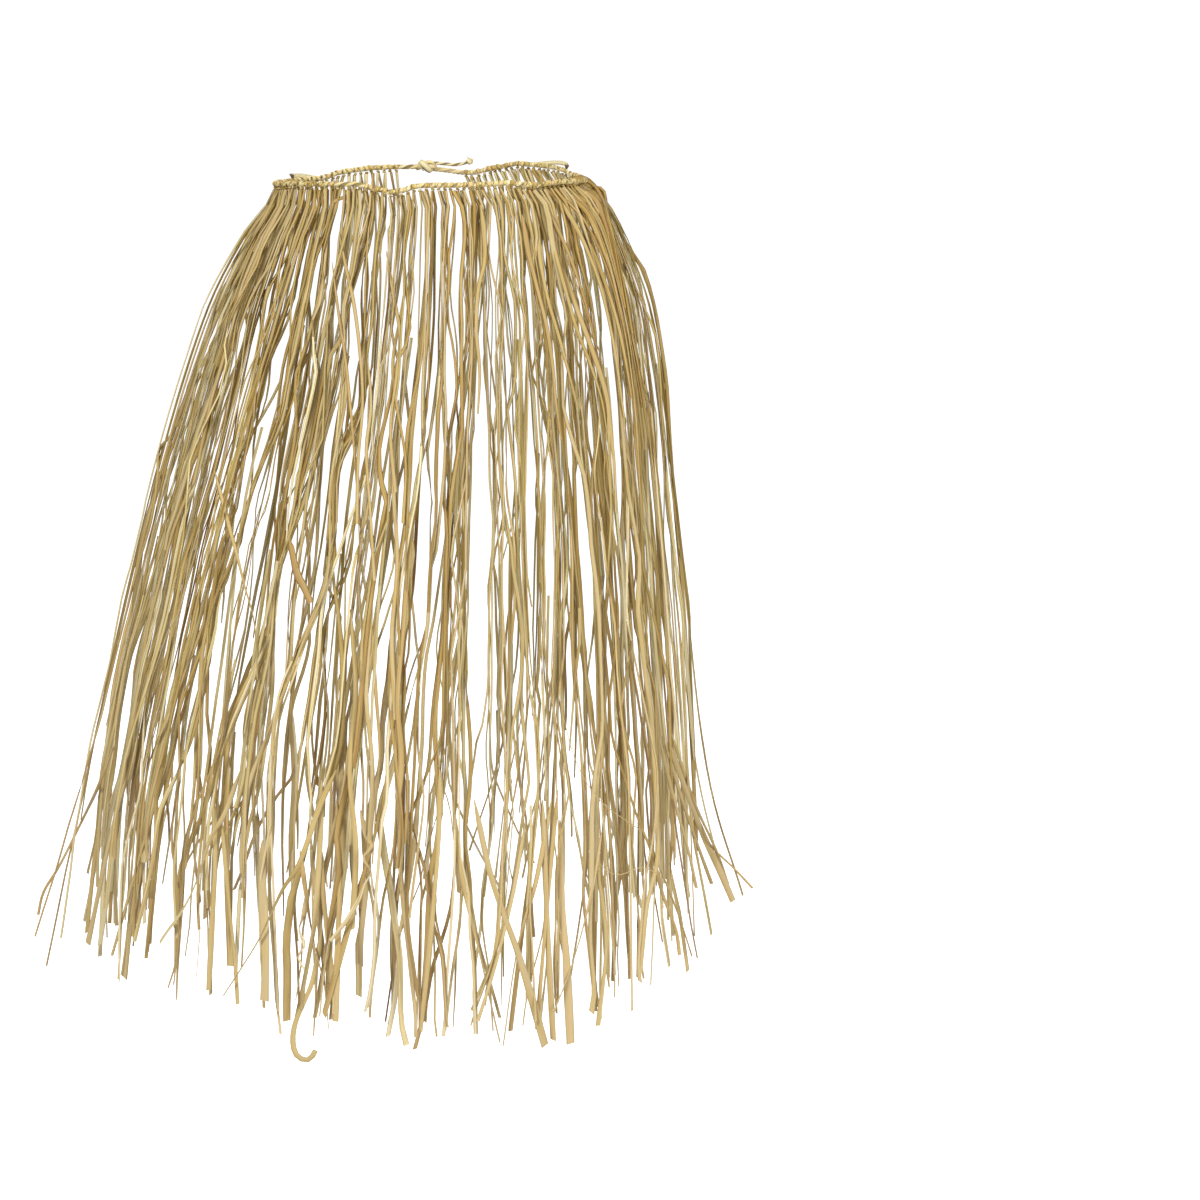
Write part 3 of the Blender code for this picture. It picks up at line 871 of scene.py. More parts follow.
def turned(rows, flips, mark):
    """A ribbon's turn at a distance along it."""
    turn = between(rows, mark)[1]
    for middle, half, amount in flips:
        turn += amount * smooth_share((mark - middle + half) / (2 * half))
    return turn


def frames(points, side):
    """Direction, side and face of a line at each of its points, with no twist of its own."""
    made = []
    for index, point in enumerate(points):
        ahead = points[min(index + 1, len(points) - 1)]
        behind = points[max(index - 1, 0)]
        direction = (ahead - behind).normalized()
        side = (side - direction * side.dot(direction)).normalized()
        made.append((direction, side, side.cross(direction)))
    return made


# The strip's eight corners: six on its upper side, and two on its under side.
LEAF_UPPERS = 6
LEAF_UNDERS = (0.0,) * LEAF_UPPERS + (1.0,) * 2


def leaf_corners(point, direction, side, face, width, fold, shape, slant):
    """Eight corners of a folded strip of leaf, how far across they lie and how near a dark edge or
    painted shade.

    The strip has a sharp ridge, a step beside it where one fold lies on the next, and a thin wall. Its
    edges take the dark edge colour as dried leaf and as painted shade, and the flap below the step and
    the under side take it as painted shade.
    """
    half = width / 2 / math.sqrt(1.0 + fold * fold)
    ridge = shape.ridge
    profile = (
        # across, height against the fold, closeness to an edge, where the edge colour paints the dried
        # edge and the shade by the step and on the under side
        (-1.0, 0.0, 1.0),
        (-0.52, 0.48 / (ridge + 1.0), 0.0),
        (ridge, 1.0, 0.0),
        (ridge + 0.14, 1.0 - 0.55 * shape.crease, shape.crease),
        (0.74, 0.17, 0.0),
        (1.0, 0.0, 1.0),
        (0.5, 0.25, 0.4),
        (-0.5, 0.25, 0.4),
    )
    corners, across, edges = [], [], []
    for number, (mark, height, edge) in enumerate(profile):
        mark *= shape.mirror
        rise = half * (fold * height + shape.curl * (1.0 - mark * mark))
        if number >= LEAF_UPPERS:
            rise -= LEAF_THICKNESS
        corners.append(point + side * (half * mark) + face * rise + direction * (slant * half * mark))
        across.append(half * mark)
        edges.append(edge)
    return corners, across, edges


def leaf_sections(points, axes, turns, widths, folds, slants, shape, marks, tone):
    """The sections of a leaf strip along its points, turned about its line by turns."""
    sections = []
    for index, (direction, side, face) in enumerate(axes):
        cosine, sine = math.cos(turns[index]), math.sin(turns[index])
        corners, across, edges = leaf_corners(
            points[index], direction, side * cosine + face * sine, face * cosine - side * sine,
            widths[index], folds[index], shape, slants[index])
        sections.append(Section(corners, across, edges, marks[index], tone))
    return sections


def station_rows(table):
    """A strip's rows, read again at even steps along it."""
    length = table[-1][0]
    steps = round(length / STATION_STEP)
    marks = [length * index / steps for index in range(steps + 1)]
    return [(mark, *between(table, mark)[1:]) for mark in marks]


def strip_points(strand, rows):
    """The middle of a strip at its rows of distance, sideways and outward offset."""
    points = [strand.route.at(mark) + strand.side * sideways + strand.out * outwards
              for mark, sideways, outwards in rows]
    return points if strand.stray else straightened(points)


def trimmed_table(strand, table, draw):
    """A strip's rows, cut short where it hangs in one of the hem's wide openings."""
    rows = station_rows(table)
    kept = max(len(rows) // 2, hem_cut(strip_points(strand, rows), draw))
    if kept == len(rows):
        return table
    return [row for row in table if row[0] < rows[kept][0] - HEM_CLEARANCE] + [rows[kept]]


def strip_sections(strand, table, sizes, seed):
    """The sections of one hanging strip."""
    draw = random.Random(seed)
    if not strand.stray:
        table = trimmed_table(strand, table, draw)
    length = table[-1][0]
    width = draw.uniform(*STRAY_WIDTH) if strand.stray else strip_width(draw)
    fold = draw.uniform(*FOLDS) * draw.choice((-1, 1, 1))
    shape = LeafShape(draw.uniform(*RIDGES), draw.choice((-1, 1)), draw.choice(CREASES_AND_SHADE),
                      draw.uniform(*CURLS))
    tone = clamp(draw.gauss(*STRIP_TONE))
    widths = width_table(length, width, draw)
    twists, flips = twist_table(strand, length, draw)
    table = bend_rows(table, sizes.bend_size * draw.uniform(*BEND_SPREAD), draw)
    rows = station_rows(table)
    marks = [row[0] for row in rows]
    points = strip_points(strand, rows)
    wides = [between(widths, mark)[1] * fullness(point) for mark, point in zip(marks, points)]
    if strand.stray:
        tapers = [STRAY_TAPER * smooth_share((mark - STRAY_TAPERS_FROM) / STRAY_TAPERS_OVER)
                  for mark in marks]
        wides = [max(STRAY_TIP, wide * (1.0 - taper)) for wide, taper in zip(wides, tapers)]
    else:
        across = strand.side / strand.side.x if abs(strand.side.x) > SIDE_ON else Vector((1, 0, 0))
        moves = opening_moves(points, wides, draw)
        points = [point + across * move for point, move in zip(points, moves)]
    slants = [0.0] * (len(points) - 1) + [draw.uniform(-TIP_SLANT, TIP_SLANT)]
    turns = [turned(twists, flips, mark) for mark in marks]
    folds = [fold * (1.0 - FLATTER * smooth_share(mark / FLATTENS_OVER)) for mark in marks]
    return leaf_sections(points, frames(points, strand.side), turns, wides, folds, slants, shape,
                         marks, tone)


# ---------------------------------------------------------------- mesh helpers
def sweep(name, runs, unders):
    """One mesh of many closed sweeps, each of them extruded from section to section.

    Each vertex keeps the run's tone, its distance along and across the leaf, how near the leaf's dark
    edge it is, which also carries painted shade, and whether it lies on the leaf's under side, which
    is painted darker in part as shade.
    """
    bm = bmesh.new()
    corner = bm.verts.layers.int.new("corner")
    number = bm.faces.layers.int.new("run")
    tone, along, across, edge, under = (
        bm.verts.layers.float.new(key) for key in ("tone", "along", "across", "edge", "under"))

    def place(face, step):
        section = runs[face[number]][step]
        for vert in face.verts:
            index = vert[corner]
            vert.co = section.corners[index]
            vert[tone] = section.tone
            vert[along] = section.mark
            vert[across] = section.across[index]
            vert[edge] = section.edges[index]
            vert[under] = unders[index]

    tips = []
    for index in range(len(runs)):
        ring = bmesh.ops.create_circle(bm, cap_ends=True, segments=len(unders), radius=MM)["verts"]
        for position, vert in enumerate(ring):
            vert[corner] = position
        face = ring[0].link_faces[0]
        face[number] = index
        place(face, 0)
        tips.append(face)
    step = 1
    while tips:
        tips = [face for face in tips if step < len(runs[face[number]])]
        if tips:
            tips = bmesh.ops.extrude_discrete_faces(bm, faces=tips)["faces"]
        for face in tips:
            place(face, step)
        step += 1
    bmesh.ops.holes_fill(bm, edges=[e for e in bm.edges if e.is_boundary], sides=len(unders))
    bmesh.ops.recalc_face_normals(bm, faces=bm.faces)
    bm.verts.layers.int.remove(corner)
    bm.faces.layers.int.remove(number)
    return finish_mesh(name, bm)


SHARP_ANGLE = math.radians(28)


def finish_mesh(name, bm):
    """The object made of a finished bmesh, smooth but for its sharp edges."""
    mesh = bpy.data.meshes.new(name)
    bm.to_mesh(mesh)
    bm.free()
    mesh.shade_smooth()
    mesh.set_sharp_from_angle(angle=SHARP_ANGLE)
    piece = bpy.data.objects.new(name, mesh)
    bpy.context.scene.collection.objects.link(piece)
    return piece


def dress(piece, material, slot, *nodes):
    """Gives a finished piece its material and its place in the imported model."""
    piece.data.materials.append(material)
    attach(piece, BODY)
    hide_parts(*nodes)


def round_sections(points, side, radii, turn, marks, tone, corners=4, edge=0.5):
    """Sections of a thin fibre. radii is (along its side, along its face) at each point."""
    sections = []
    for index, (_, side_here, face) in enumerate(frames(points, side)):
        ring, across = [], []
        for number in range(corners):
            angle = 2 * math.pi * number / corners + turn
            ring.append(points[index] + side_here * (radii[index][0] * math.cos(angle))
                        + face * (radii[index][1] * math.sin(angle)))
            across.append(radii[index][0] * math.cos(angle))
        sections.append(Section(ring, across, (edge,) * corners, marks[index], tone))
    return sections


# A ply is a bundle of fibres: its section has soft ridges, which creep round it along the cord.
PLY_CORNERS = 10
PLY_UNDERS = (0.0,) * PLY_CORNERS
PLY_RIDGES = 5
PLY_RIDGE = 0.10
PLY_CREEP = 0.8
PLY_CREEP_LENGTH = 0.017


def ply_sections(route, ply, plies, helix_radius, ply_radii, pitch, tone, steps):
    """One ply of a twisted cord that follows a route."""
    centre = route.even(steps)
    sections = []
    for index, (_, side, face) in enumerate(frames(centre, UP)):
        mark = route.length * index / steps
        phase = 2 * math.pi * (mark / pitch + ply / plies)
        out = side * math.cos(phase) + face * math.sin(phase)
        round_it = face * math.cos(phase) - side * math.sin(phase)
        middle = centre[index] + out * helix_radius
        ring, across, edges = [], [], []
        for number in range(PLY_CORNERS):
            angle = 2 * math.pi * number / PLY_CORNERS
            creep = PLY_CREEP * math.sin(mark / PLY_CREEP_LENGTH)
            swell = 1.0 + PLY_RIDGE * math.cos(PLY_RIDGES * angle + creep)
            ring.append(middle + out * (ply_radii[0] * swell * math.cos(angle))
                        + round_it * (ply_radii[1] * swell * math.sin(angle)))
            across.append(ply_radii[1] * math.sin(angle) * 1.5)
            # The flanks of each ply take the dark edge colour: painted shade in the grooves between
            # the plies.
            edges.append(abs(math.sin(angle)) ** 3)
        sections.append(Section(ring, across, edges, mark, tone))
    return sections


# ---------------------------------------------------------------- materials
def add_node(tree, kind, inputs=None, **settings):
    """Adds a node. inputs maps a socket to a value, or to another node's output to link."""
    made = tree.nodes.new(kind)
    for key, value in settings.items():
        setattr(made, key, value)
    for socket, value in (inputs or {}).items():
        if isinstance(value, bpy.types.NodeSocket):
            tree.links.new(value, made.inputs[socket])
        else:
            made.inputs[socket].default_value = value
    return made


def raffia(name, colours, shades, roughness):
    """Dried raffia palm leaf, peeled and split by hand.

    It gives the eye a satin, straw-coloured strip with fine lengthwise veins, slow blotches of tan,
    browner edges that also paint the shade between strips and in their creases, a duller under side
    that is also painted darker as shade, and a tone that darkens towards the tip. shades are the
    ramp's stops.
    """
    # The veins of real leaf are about 0.3 mm apart. They are drawn coarser, so that they show.
    vein_width = 0.9 * MM
    vein_length = 45 * MM
    blotch_width = 5 * MM
    blotch_length = 60 * MM
    material = bpy.data.materials.new(name)
    material.use_nodes = True
    tree = material.node_tree
    shader = tree.nodes["Principled BSDF"]
    read = {key: add_node(tree, "ShaderNodeAttribute", attribute_name=key).outputs["Fac"]
            for key in ("tone", "along", "across", "edge", "under")}
    place = add_node(tree, "ShaderNodeCombineXYZ",
                     {"X": read["across"], "Y": read["along"], "Z": read["tone"]}).outputs[0]
    vein_place = add_node(tree, "ShaderNodeVectorMath",
                          {0: place, 1: (1 / vein_width, 1 / vein_length, 57.0)},
                          operation="MULTIPLY").outputs[0]
    veins = add_node(tree, "ShaderNodeTexNoise",
                     {"Vector": vein_place, "Scale": 1.0, "Detail": 2.0}).outputs["Fac"]
    blotch_place = add_node(tree, "ShaderNodeVectorMath",
                            {0: place, 1: (1 / blotch_width, 1 / blotch_length, 91.0)},
                            operation="MULTIPLY").outputs[0]
    blotches = add_node(tree, "ShaderNodeTexNoise",
                        {"Vector": blotch_place, "Scale": 1.0, "Detail": 3.0}).outputs["Fac"]
    veined = add_node(tree, "ShaderNodeMath", {0: veins, 1: 0.90, 2: -0.45},
                      operation="MULTIPLY_ADD").outputs[0]
    blotched = add_node(tree, "ShaderNodeMath", {0: blotches, 1: 0.70, 2: -0.35},
                        operation="MULTIPLY_ADD").outputs[0]
    varied = add_node(tree, "ShaderNodeMath", {0: veined, 1: blotched}, operation="ADD").outputs[0]
    # The tone is a little lighter near the hitch and darker towards the tip.
    darker_towards_tip = add_node(tree, "ShaderNodeMapRange",
                        {"Value": read["along"], "From Max": 0.75, "To Min": 0.03,
                         "To Max": -0.07}).outputs[0]
    varied = add_node(tree, "ShaderNodeMath", {0: varied, 1: darker_towards_tip}, operation="ADD").outputs[0]
    toned = add_node(tree, "ShaderNodeMath", {0: read["tone"], 1: varied},
                     operation="ADD", use_clamp=True).outputs[0]
    ramp = add_node(tree, "ShaderNodeValToRGB", {"Fac": toned})
    while len(ramp.color_ramp.elements) < len(shades):
        ramp.color_ramp.elements.new(0.5)
    for stop, (position, colour) in zip(ramp.color_ramp.elements, shades):
        stop.position = position
        stop.color = opaque(colour)
    hue = add_node(tree, "ShaderNodeMath", {0: read["tone"], 1: 9.7}, operation="MULTIPLY").outputs[0]
    hue = add_node(tree, "ShaderNodeMath", {0: hue}, operation="FRACT").outputs[0]
    greener = add_node(tree, "ShaderNodeMapRange", {"Value": hue, "From Min": 0.30, "From Max": 0.05,
                                                    "To Max": 0.28}).outputs[0]
    redder = add_node(tree, "ShaderNodeMapRange", {"Value": hue, "From Min": 0.70, "From Max": 0.95,
                                                   "To Max": 0.22}).outputs[0]
    faded = add_node(tree, "ShaderNodeMapRange", {"Value": read["along"], "From Min": 0.30,
                                                  "From Max": 0.78, "To Max": 0.34}).outputs[0]
    # Darker edges: the dried edges of the leaf, and also painted shade between the strips, in their
    # creases, in the grooves of the cord and the crevices of the hitches. The painted shade is deeper
    # near the waist.
    edge_and_shade_share = add_node(tree, "ShaderNodeMath", {0: read["edge"], 1: 1.1},
                          operation="POWER").outputs[0]
    edge_and_shade_depth = add_node(tree, "ShaderNodeMapRange",
                          {"Value": read["along"], "From Min": 0.15, "From Max": 0.70,
                           "To Min": 0.95, "To Max": 0.50}).outputs[0]
    edge_and_shade_share = add_node(tree, "ShaderNodeMath", {0: edge_and_shade_share, 1: edge_and_shade_depth},
                          operation="MULTIPLY").outputs[0]
    # The under side is partly the leaf's duller side and partly painted shade.
    under_shade_share = add_node(tree, "ShaderNodeMath", {0: read["under"], 1: 0.45},
                           operation="MULTIPLY").outputs[0]
    leaf = ramp.outputs["Color"]
    for share, colour in ((greener, colours.green), (redder, colours.pink), (faded, colours.faded),
                          (edge_and_shade_share, colours.edge), (under_shade_share, colours.under_side_and_shade)):
        leaf = add_node(tree, "ShaderNodeMix", {0: share, 6: leaf, 7: opaque(colour)},
                        data_type="RGBA").outputs[2]
    tree.links.new(leaf, shader.inputs["Base Color"])
    shader.inputs["Specular IOR Level"].default_value = 0.22
    rough = add_node(tree, "ShaderNodeMapRange",
                     {"Value": veins, "To Min": roughness - 0.10, "To Max": roughness + 0.10})
    tree.links.new(rough.outputs[0], shader.inputs["Roughness"])
    bump = add_node(tree, "ShaderNodeBump",
                    {"Height": veins, "Strength": 0.55, "Distance": 0.12 * MM})
    tree.links.new(bump.outputs[0], shader.inputs["Normal"])
    return material


def strand_shades(colours):
    return ((0.0, colours.brown), (0.22, colours.tan), (0.50, colours.straw),
            (0.78, colours.pale), (1.0, colours.olive))


def cord_shades(colours):
    return (0.0, colours.tan), (0.5, colours.straw), (1.0, colours.pale)


# ---------------------------------------------------------------- settings
class GrassSkirtSizes(bpy.types.PropertyGroup):
    waist_half_width: FloatProperty(
        name="Waist half width", description="Half the width of the waist cord's oval",
        default=0.145, unit="LENGTH")
    waist_half_depth: FloatProperty(
        name="Waist half depth", description="Half the depth of the waist cord's oval",
        default=0.100, unit="LENGTH")
    cord_diameter: FloatProperty(
        name="Cord diameter", description="Across both plies of the waist cord",
        default=0.0048, unit="LENGTH")
    cord_pitch: FloatProperty(
        name="Cord pitch", description="Length of cord in which a ply goes once round",
        default=0.026, unit="LENGTH")
    tail_diameter: FloatProperty(
        name="Tail diameter", description="Across the free end of the tie",
        default=0.0034, unit="LENGTH")
    bend_size: FloatProperty(
        name="Bend size", description="How far a strip's small bends take it off its line",
        default=0.0026, unit="LENGTH")
    fibres: IntProperty(
        name="Loose fibres", description="Number of thin fibres that have split off the strips",
        default=80, min=0)
    seed: IntProperty(
        name="Seed", description="Start of the random draws for the strips' small differences",
        default=7)


def colour_property(name, description, code):
    return FloatVectorProperty(name=name, description=description, subtype="COLOR", size=3,
                               min=0.0, max=1.0, default=linear(code))


class GrassSkirtColours(bpy.types.PropertyGroup):
    pale: colour_property("Pale straw", "The lightest strips", "#E8DAB0")
    straw: colour_property("Straw", "The usual colour of the strips", "#DBC788")
    tan: colour_property("Tan", "Strips that dried darker", "#BC9D51")
    brown: colour_property("Brown", "The darkest strips", "#7F5817")
    olive: colour_property("Olive straw", "Strips that kept a little green", "#CABB7C")
    green: colour_property("Green tint", "Strips picked early", "#B9B36A")
    pink: colour_property("Pink tint", "Strips that dried in the sun", "#CFA988")
    faded: colour_property("Faded", "What the hanging ends fade towards", "#D2BE9E")
    # The edge colour is partly the dried edge of a strip and partly painted shade: the dark lines
    # between strips, in folds, between plies and under the loops.
    edge: colour_property("Edge", "The dried edges of a strip", "#4A300B")
    # The under side colour: the leaf's duller side, painted darker in part as shade.
    under_side_and_shade: colour_property("Under side", "The dull side of a strip", "#B69450")
    floor: colour_property("Floor", "The paper floor", "#FBFBFA")


class GrassSkirtStage(bpy.types.PropertyGroup):
    distance: FloatProperty(
        name="Camera distance", description="How far in front of the waist the camera stands",
        default=VIEW_DISTANCE, unit="LENGTH")
    height: FloatProperty(
        name="Camera height", description="How far the camera is above the waist",
        default=VIEW_HEIGHT, unit="LENGTH")
    pitch: FloatProperty(
        name="Pitch", description="How far the camera looks down",
        default=math.radians(11.2338), subtype="ANGLE")
    pan: FloatProperty(
        name="Pan", description="How far the camera looks to the right of the waist",
        default=math.radians(2.6004), subtype="ANGLE")
    lens: FloatProperty(
        name="Lens", description="Focal length on a sensor 36 mm wide, in millimetres",
        default=111.69, unit="CAMERA")
    floor_drop: FloatProperty(
        name="Floor drop", description="How far the floor lies below the waist",
        default=1.02, unit="LENGTH")
    daylight: FloatProperty(
        name="Daylight", description="Strength of the white light from all round", default=0.44)


class SkirtOperator:
    """What the skirt's operators share. Each of them has its own make."""
    bl_options = {"REGISTER", "UNDO"}

    def execute(self, context):
        self.make(context.scene.grass_skirt_sizes, context.scene.grass_skirt_colours)
        return {"FINISHED"}


# ---------------------------------------------------------------- stage
LIGHTS = (
    # name, place, size, watts
    ("key_light", (-1.6, -2.7, 1.9), 0.9, 124.0),
    ("fill_light", (2.6, -2.2, 0.3), 1.6, 80.0),
    ("top_light", (0.5, 1.2, 2.2), 1.4, 30.0),
)
LIGHT_TARGET = Vector((0.0, 0.0, -0.4))
SENSOR_WIDTH = 36.0
FARTHEST_SEEN = 200.0
FLOOR_HALF_SIZE = 60.0
PAPER_GLOW = 0.64
# The lamps are a little bluer than the light from all round, so that shade looks warm.
DAYLIGHT = (0.925, 0.945, 0.99)


class GRASS_SKIRT_OT_stage(SkirtOperator, bpy.types.Operator):
    """Makes the camera, the soft lights and the pale floor"""
    bl_idname = "grass_skirt.stage"
    bl_label = "Stage"

    def make(self, sizes, colours):
        scene = bpy.context.scene
        stage = scene.grass_skirt_stage
        lens = bpy.data.cameras.new("camera")
        lens.lens = stage.lens
        lens.sensor_width = SENSOR_WIDTH
        lens.clip_end = FARTHEST_SEEN
        camera = bpy.data.objects.new("camera", lens)
        scene.collection.objects.link(camera)
        camera.location = (0.0, -stage.distance, stage.height)
        camera.rotation_euler = (math.pi / 2 - stage.pitch, 0.0, -stage.pan)
        scene.camera = camera
        scene.view_settings.view_transform = "Standard"
        for name, place, size, watts in LIGHTS:
            light = bpy.data.lights.new(name, "AREA")
            light.size = size
            light.energy = watts
            light.color = DAYLIGHT
            lamp = bpy.data.objects.new(name, light)
            scene.collection.objects.link(lamp)
            lamp.location = place
            lamp.rotation_euler = (LIGHT_TARGET - lamp.location).to_track_quat("-Z", "Y").to_euler()
        world = bpy.data.worlds.new("studio")
        world.use_nodes = True
        background = world.node_tree.nodes["Background"]
        background.inputs["Color"].default_value = (1.0, 1.0, 1.0, 1.0)
        background.inputs["Strength"].default_value = stage.daylight
        scene.world = world
        bm = bmesh.new()
        bmesh.ops.create_grid(bm, x_segments=4, y_segments=4, size=FLOOR_HALF_SIZE)
        bmesh.ops.translate(bm, verts=bm.verts, vec=(0.0, 0.0, -stage.floor_drop))
        floor = finish_mesh("floor", bm)
        # Matt white paper: no gloss, only a soft grain in its brightness.
        paper = bpy.data.materials.new("matt_paper")
        paper.use_nodes = True
        tree = paper.node_tree
        shader = tree.nodes["Principled BSDF"]
        place = add_node(tree, "ShaderNodeTexCoord").outputs["Object"]
        grain = add_node(tree, "ShaderNodeTexNoise", {"Vector": place, "Scale": 1 / (8 * MM)})
        bump = add_node(tree, "ShaderNodeBump", {"Height": grain.outputs["Fac"], "Strength": 0.05,
                                                 "Distance": 0.1 * MM})
        tree.links.new(bump.outputs[0], shader.inputs["Normal"])
        shader.inputs["Base Color"].default_value = opaque(colours.floor)
        shader.inputs["Roughness"].default_value = 0.95
        shader.inputs["Emission Color"].default_value = (1.0, 1.0, 1.0, 1.0)
        shader.inputs["Emission Strength"].default_value = PAPER_GLOW
        floor.data.materials.append(paper)
        floor.visible_diffuse = False


# ---------------------------------------------------------------- tie and cord
# How far the plies run on into the knots, and how finely they are drawn.
TAIL_INTO_KNOTS = 0.0028
TAIL_PITCH = 0.022
TAIL_STEPS = 48
CORD_INTO_KNOT = 0.0042
STEPS_IN_A_PITCH = 18

# How the bands of a knot are drawn, and the strands that fill it.
BAND_STEPS = 36
BAND_INSET = 0.7 * MM
BAND_RIDGE = 0.09
# How dark the edges of a knot's bands are painted: dried edge, and painted shade between the bands.
BAND_EDGE_SHADE = 0.80
FILLING_STEPS = 10
THIN_FILLING = 0.002
STOPPER_SCALE = 0.75

# The bands of a pulled-tight overhand knot, in parts of its half size.
KNOT_BANDS = (
    # width, thickness, tone, (across, up, to the back) along the band
    (0.0036, 0.0013, 0.66, ((-0.90, 0.45, -0.10), (-0.78, 0.10, -0.75), (-0.55, -0.35, -0.75),
                            (-0.45, -0.60, -0.10), (-0.60, -0.30, 0.60), (-0.85, 0.15, 0.70))),
    (0.0050, 0.0015, 0.46, ((-0.30, 0.50, -0.35), (0.10, 0.72, -0.50), (0.50, 0.70, -0.50),
                            (0.80, 0.36, -0.35), (0.74, -0.30, -0.20), (0.50, -0.60, 0.10),
                            (0.10, -0.30, 0.50), (-0.25, 0.15, 0.50))),
    (0.0044, 0.0014, 0.72, ((-0.15, -0.10, -0.30), (0.25, 0.05, -0.85), (0.65, 0.00, -0.90),
                            (0.95, -0.08, -0.35), (0.98, -0.10, 0.10), (0.60, -0.05, 0.70),
                            (0.00, 0.00, 0.60))),
    (0.0056, 0.0016, 0.84, ((-0.78, 0.62, 0.15), (-0.60, 0.74, -0.60), (-0.22, 0.30, -1.00),
                            (0.22, -0.35, -1.00), (0.52, -0.76, -0.55), (0.45, -0.82, 0.30),
                            (0.05, -0.50, 0.90), (-0.35, 0.20, 0.95), (-0.60, 0.60, 0.70))),
)
# What fills the knot: (across, up, to the back) from its start to its end, and a half width.
KNOT_FILLING = (
    (0.0030, 0.35, ((-0.80, -0.05, 0.0), (-0.40, 0.05, 0.0), (0.0, 0.0, 0.0), (0.40, -0.05, 0.0),
                    (0.80, -0.05, 0.0))),
    (0.0016, 0.60, ((-1.02, -0.20, 0.0), (-0.80, -0.15, -0.3), (-0.50, 0.0, -0.3))),
    (0.0016, 0.45, ((-1.02, -0.42, 0.2), (-0.80, -0.35, 0.1), (-0.50, -0.1, 0.0))),
    (0.0022, 0.70, ((1.02, -0.45, 0.0), (0.80, -0.35, -0.1), (0.50, -0.15, 0.0))),
    (0.0012, 0.70, ((1.02, 0.10, -0.2), (0.80, 0.05, -0.2), (0.50, 0.0, -0.1))),
)


def knot_places(centre, reach, rows):
    """Where the rows (across, up, to the back) of a knot lie."""
    return [centre + Vector((across * reach.x, back * reach.y, up * reach.z))
            for across, up, back in rows]


def filling_sections(centre, half_size, half_width, tone, rows):
    """One strand of the stuff inside a knot."""
    route = Route(knot_places(centre, half_size, rows))
    is_thin = half_width < THIN_FILLING
    swells = [1.0 if is_thin else 0.45 + 0.55 * math.sin(math.pi * index / FILLING_STEPS)
              for index in range(FILLING_STEPS + 1)]
    return round_sections(route.even(FILLING_STEPS), Vector((0.0, 1.0, 0.0)),
                          [(half_width * swell, half_width * swell) for swell in swells], 0.0,
                          route.marks_of(FILLING_STEPS), tone, corners=PLY_CORNERS, edge=0.35)


def knot_sections(centre, half_size, band, scale=1.0):
    """One flat band of raffia of a knot, closed on itself."""
    width, thickness, tone, rows = band
    reach = half_size - Vector((BAND_INSET, BAND_INSET, BAND_INSET))
    route = Route(knot_places(centre, reach, rows + rows[:2]))
    points = route.even(BAND_STEPS)
    sections = []
    for index, (direction, _, _) in enumerate(frames(points, UP)):
        side = direction.cross(points[index] - centre).normalized()
        face = side.cross(direction)
        ring, across, edges = [], [], []
        for number in range(PLY_CORNERS):
            angle = 2 * math.pi * number / PLY_CORNERS
            swell = 1.0 + BAND_RIDGE * math.cos(PLY_RIDGES * angle)
            ring.append(points[index] + side * (scale * width / 2 * swell * math.cos(angle))
                        + face * (scale * thickness / 2 * swell * math.sin(angle)))
            across.append(width / 2 * math.cos(angle))
            edges.append(BAND_EDGE_SHADE * abs(math.cos(angle)) ** 3)
        mark = route.length * index / BAND_STEPS
        sections.append(Section(ring, across, edges, mark, tone))
    return sections


FRAYED_FIBRES = 9
FRAY_LENGTH = (0.0014, 0.0040)
FRAY_LIFT = 0.0006
FRAY_HALF_WIDTH = 0.00030
FRAY_STEP = 0.001


def fray_sections(centre, half_size, draw):
    """One fibre that sticks out of the stopper knot."""
    heading = Vector((draw.uniform(-0.6, 1.3), draw.uniform(-0.7, 0.7),
                      draw.uniform(0.1, 1.5))).normalized()
    start = centre + Vector((half_size.x * 0.5 * heading.x, half_size.y * 0.5 * heading.y,
                             half_size.z * 0.5 * heading.z))
    shares = (0.0, 0.35, 0.7, 1.0)
    points = [start + heading * (draw.uniform(*FRAY_LENGTH) * share)
              + UP * (FRAY_LIFT * share * share) for share in shares]
    radii = [(FRAY_HALF_WIDTH * (1 - 0.7 * share),) * 2 for share in shares]
    marks = [FRAY_STEP * number for number in range(len(shares))]
    return round_sections(points, Vector((0.3, 1.0, 0.1)), radii, 0.0, marks, 0.85)


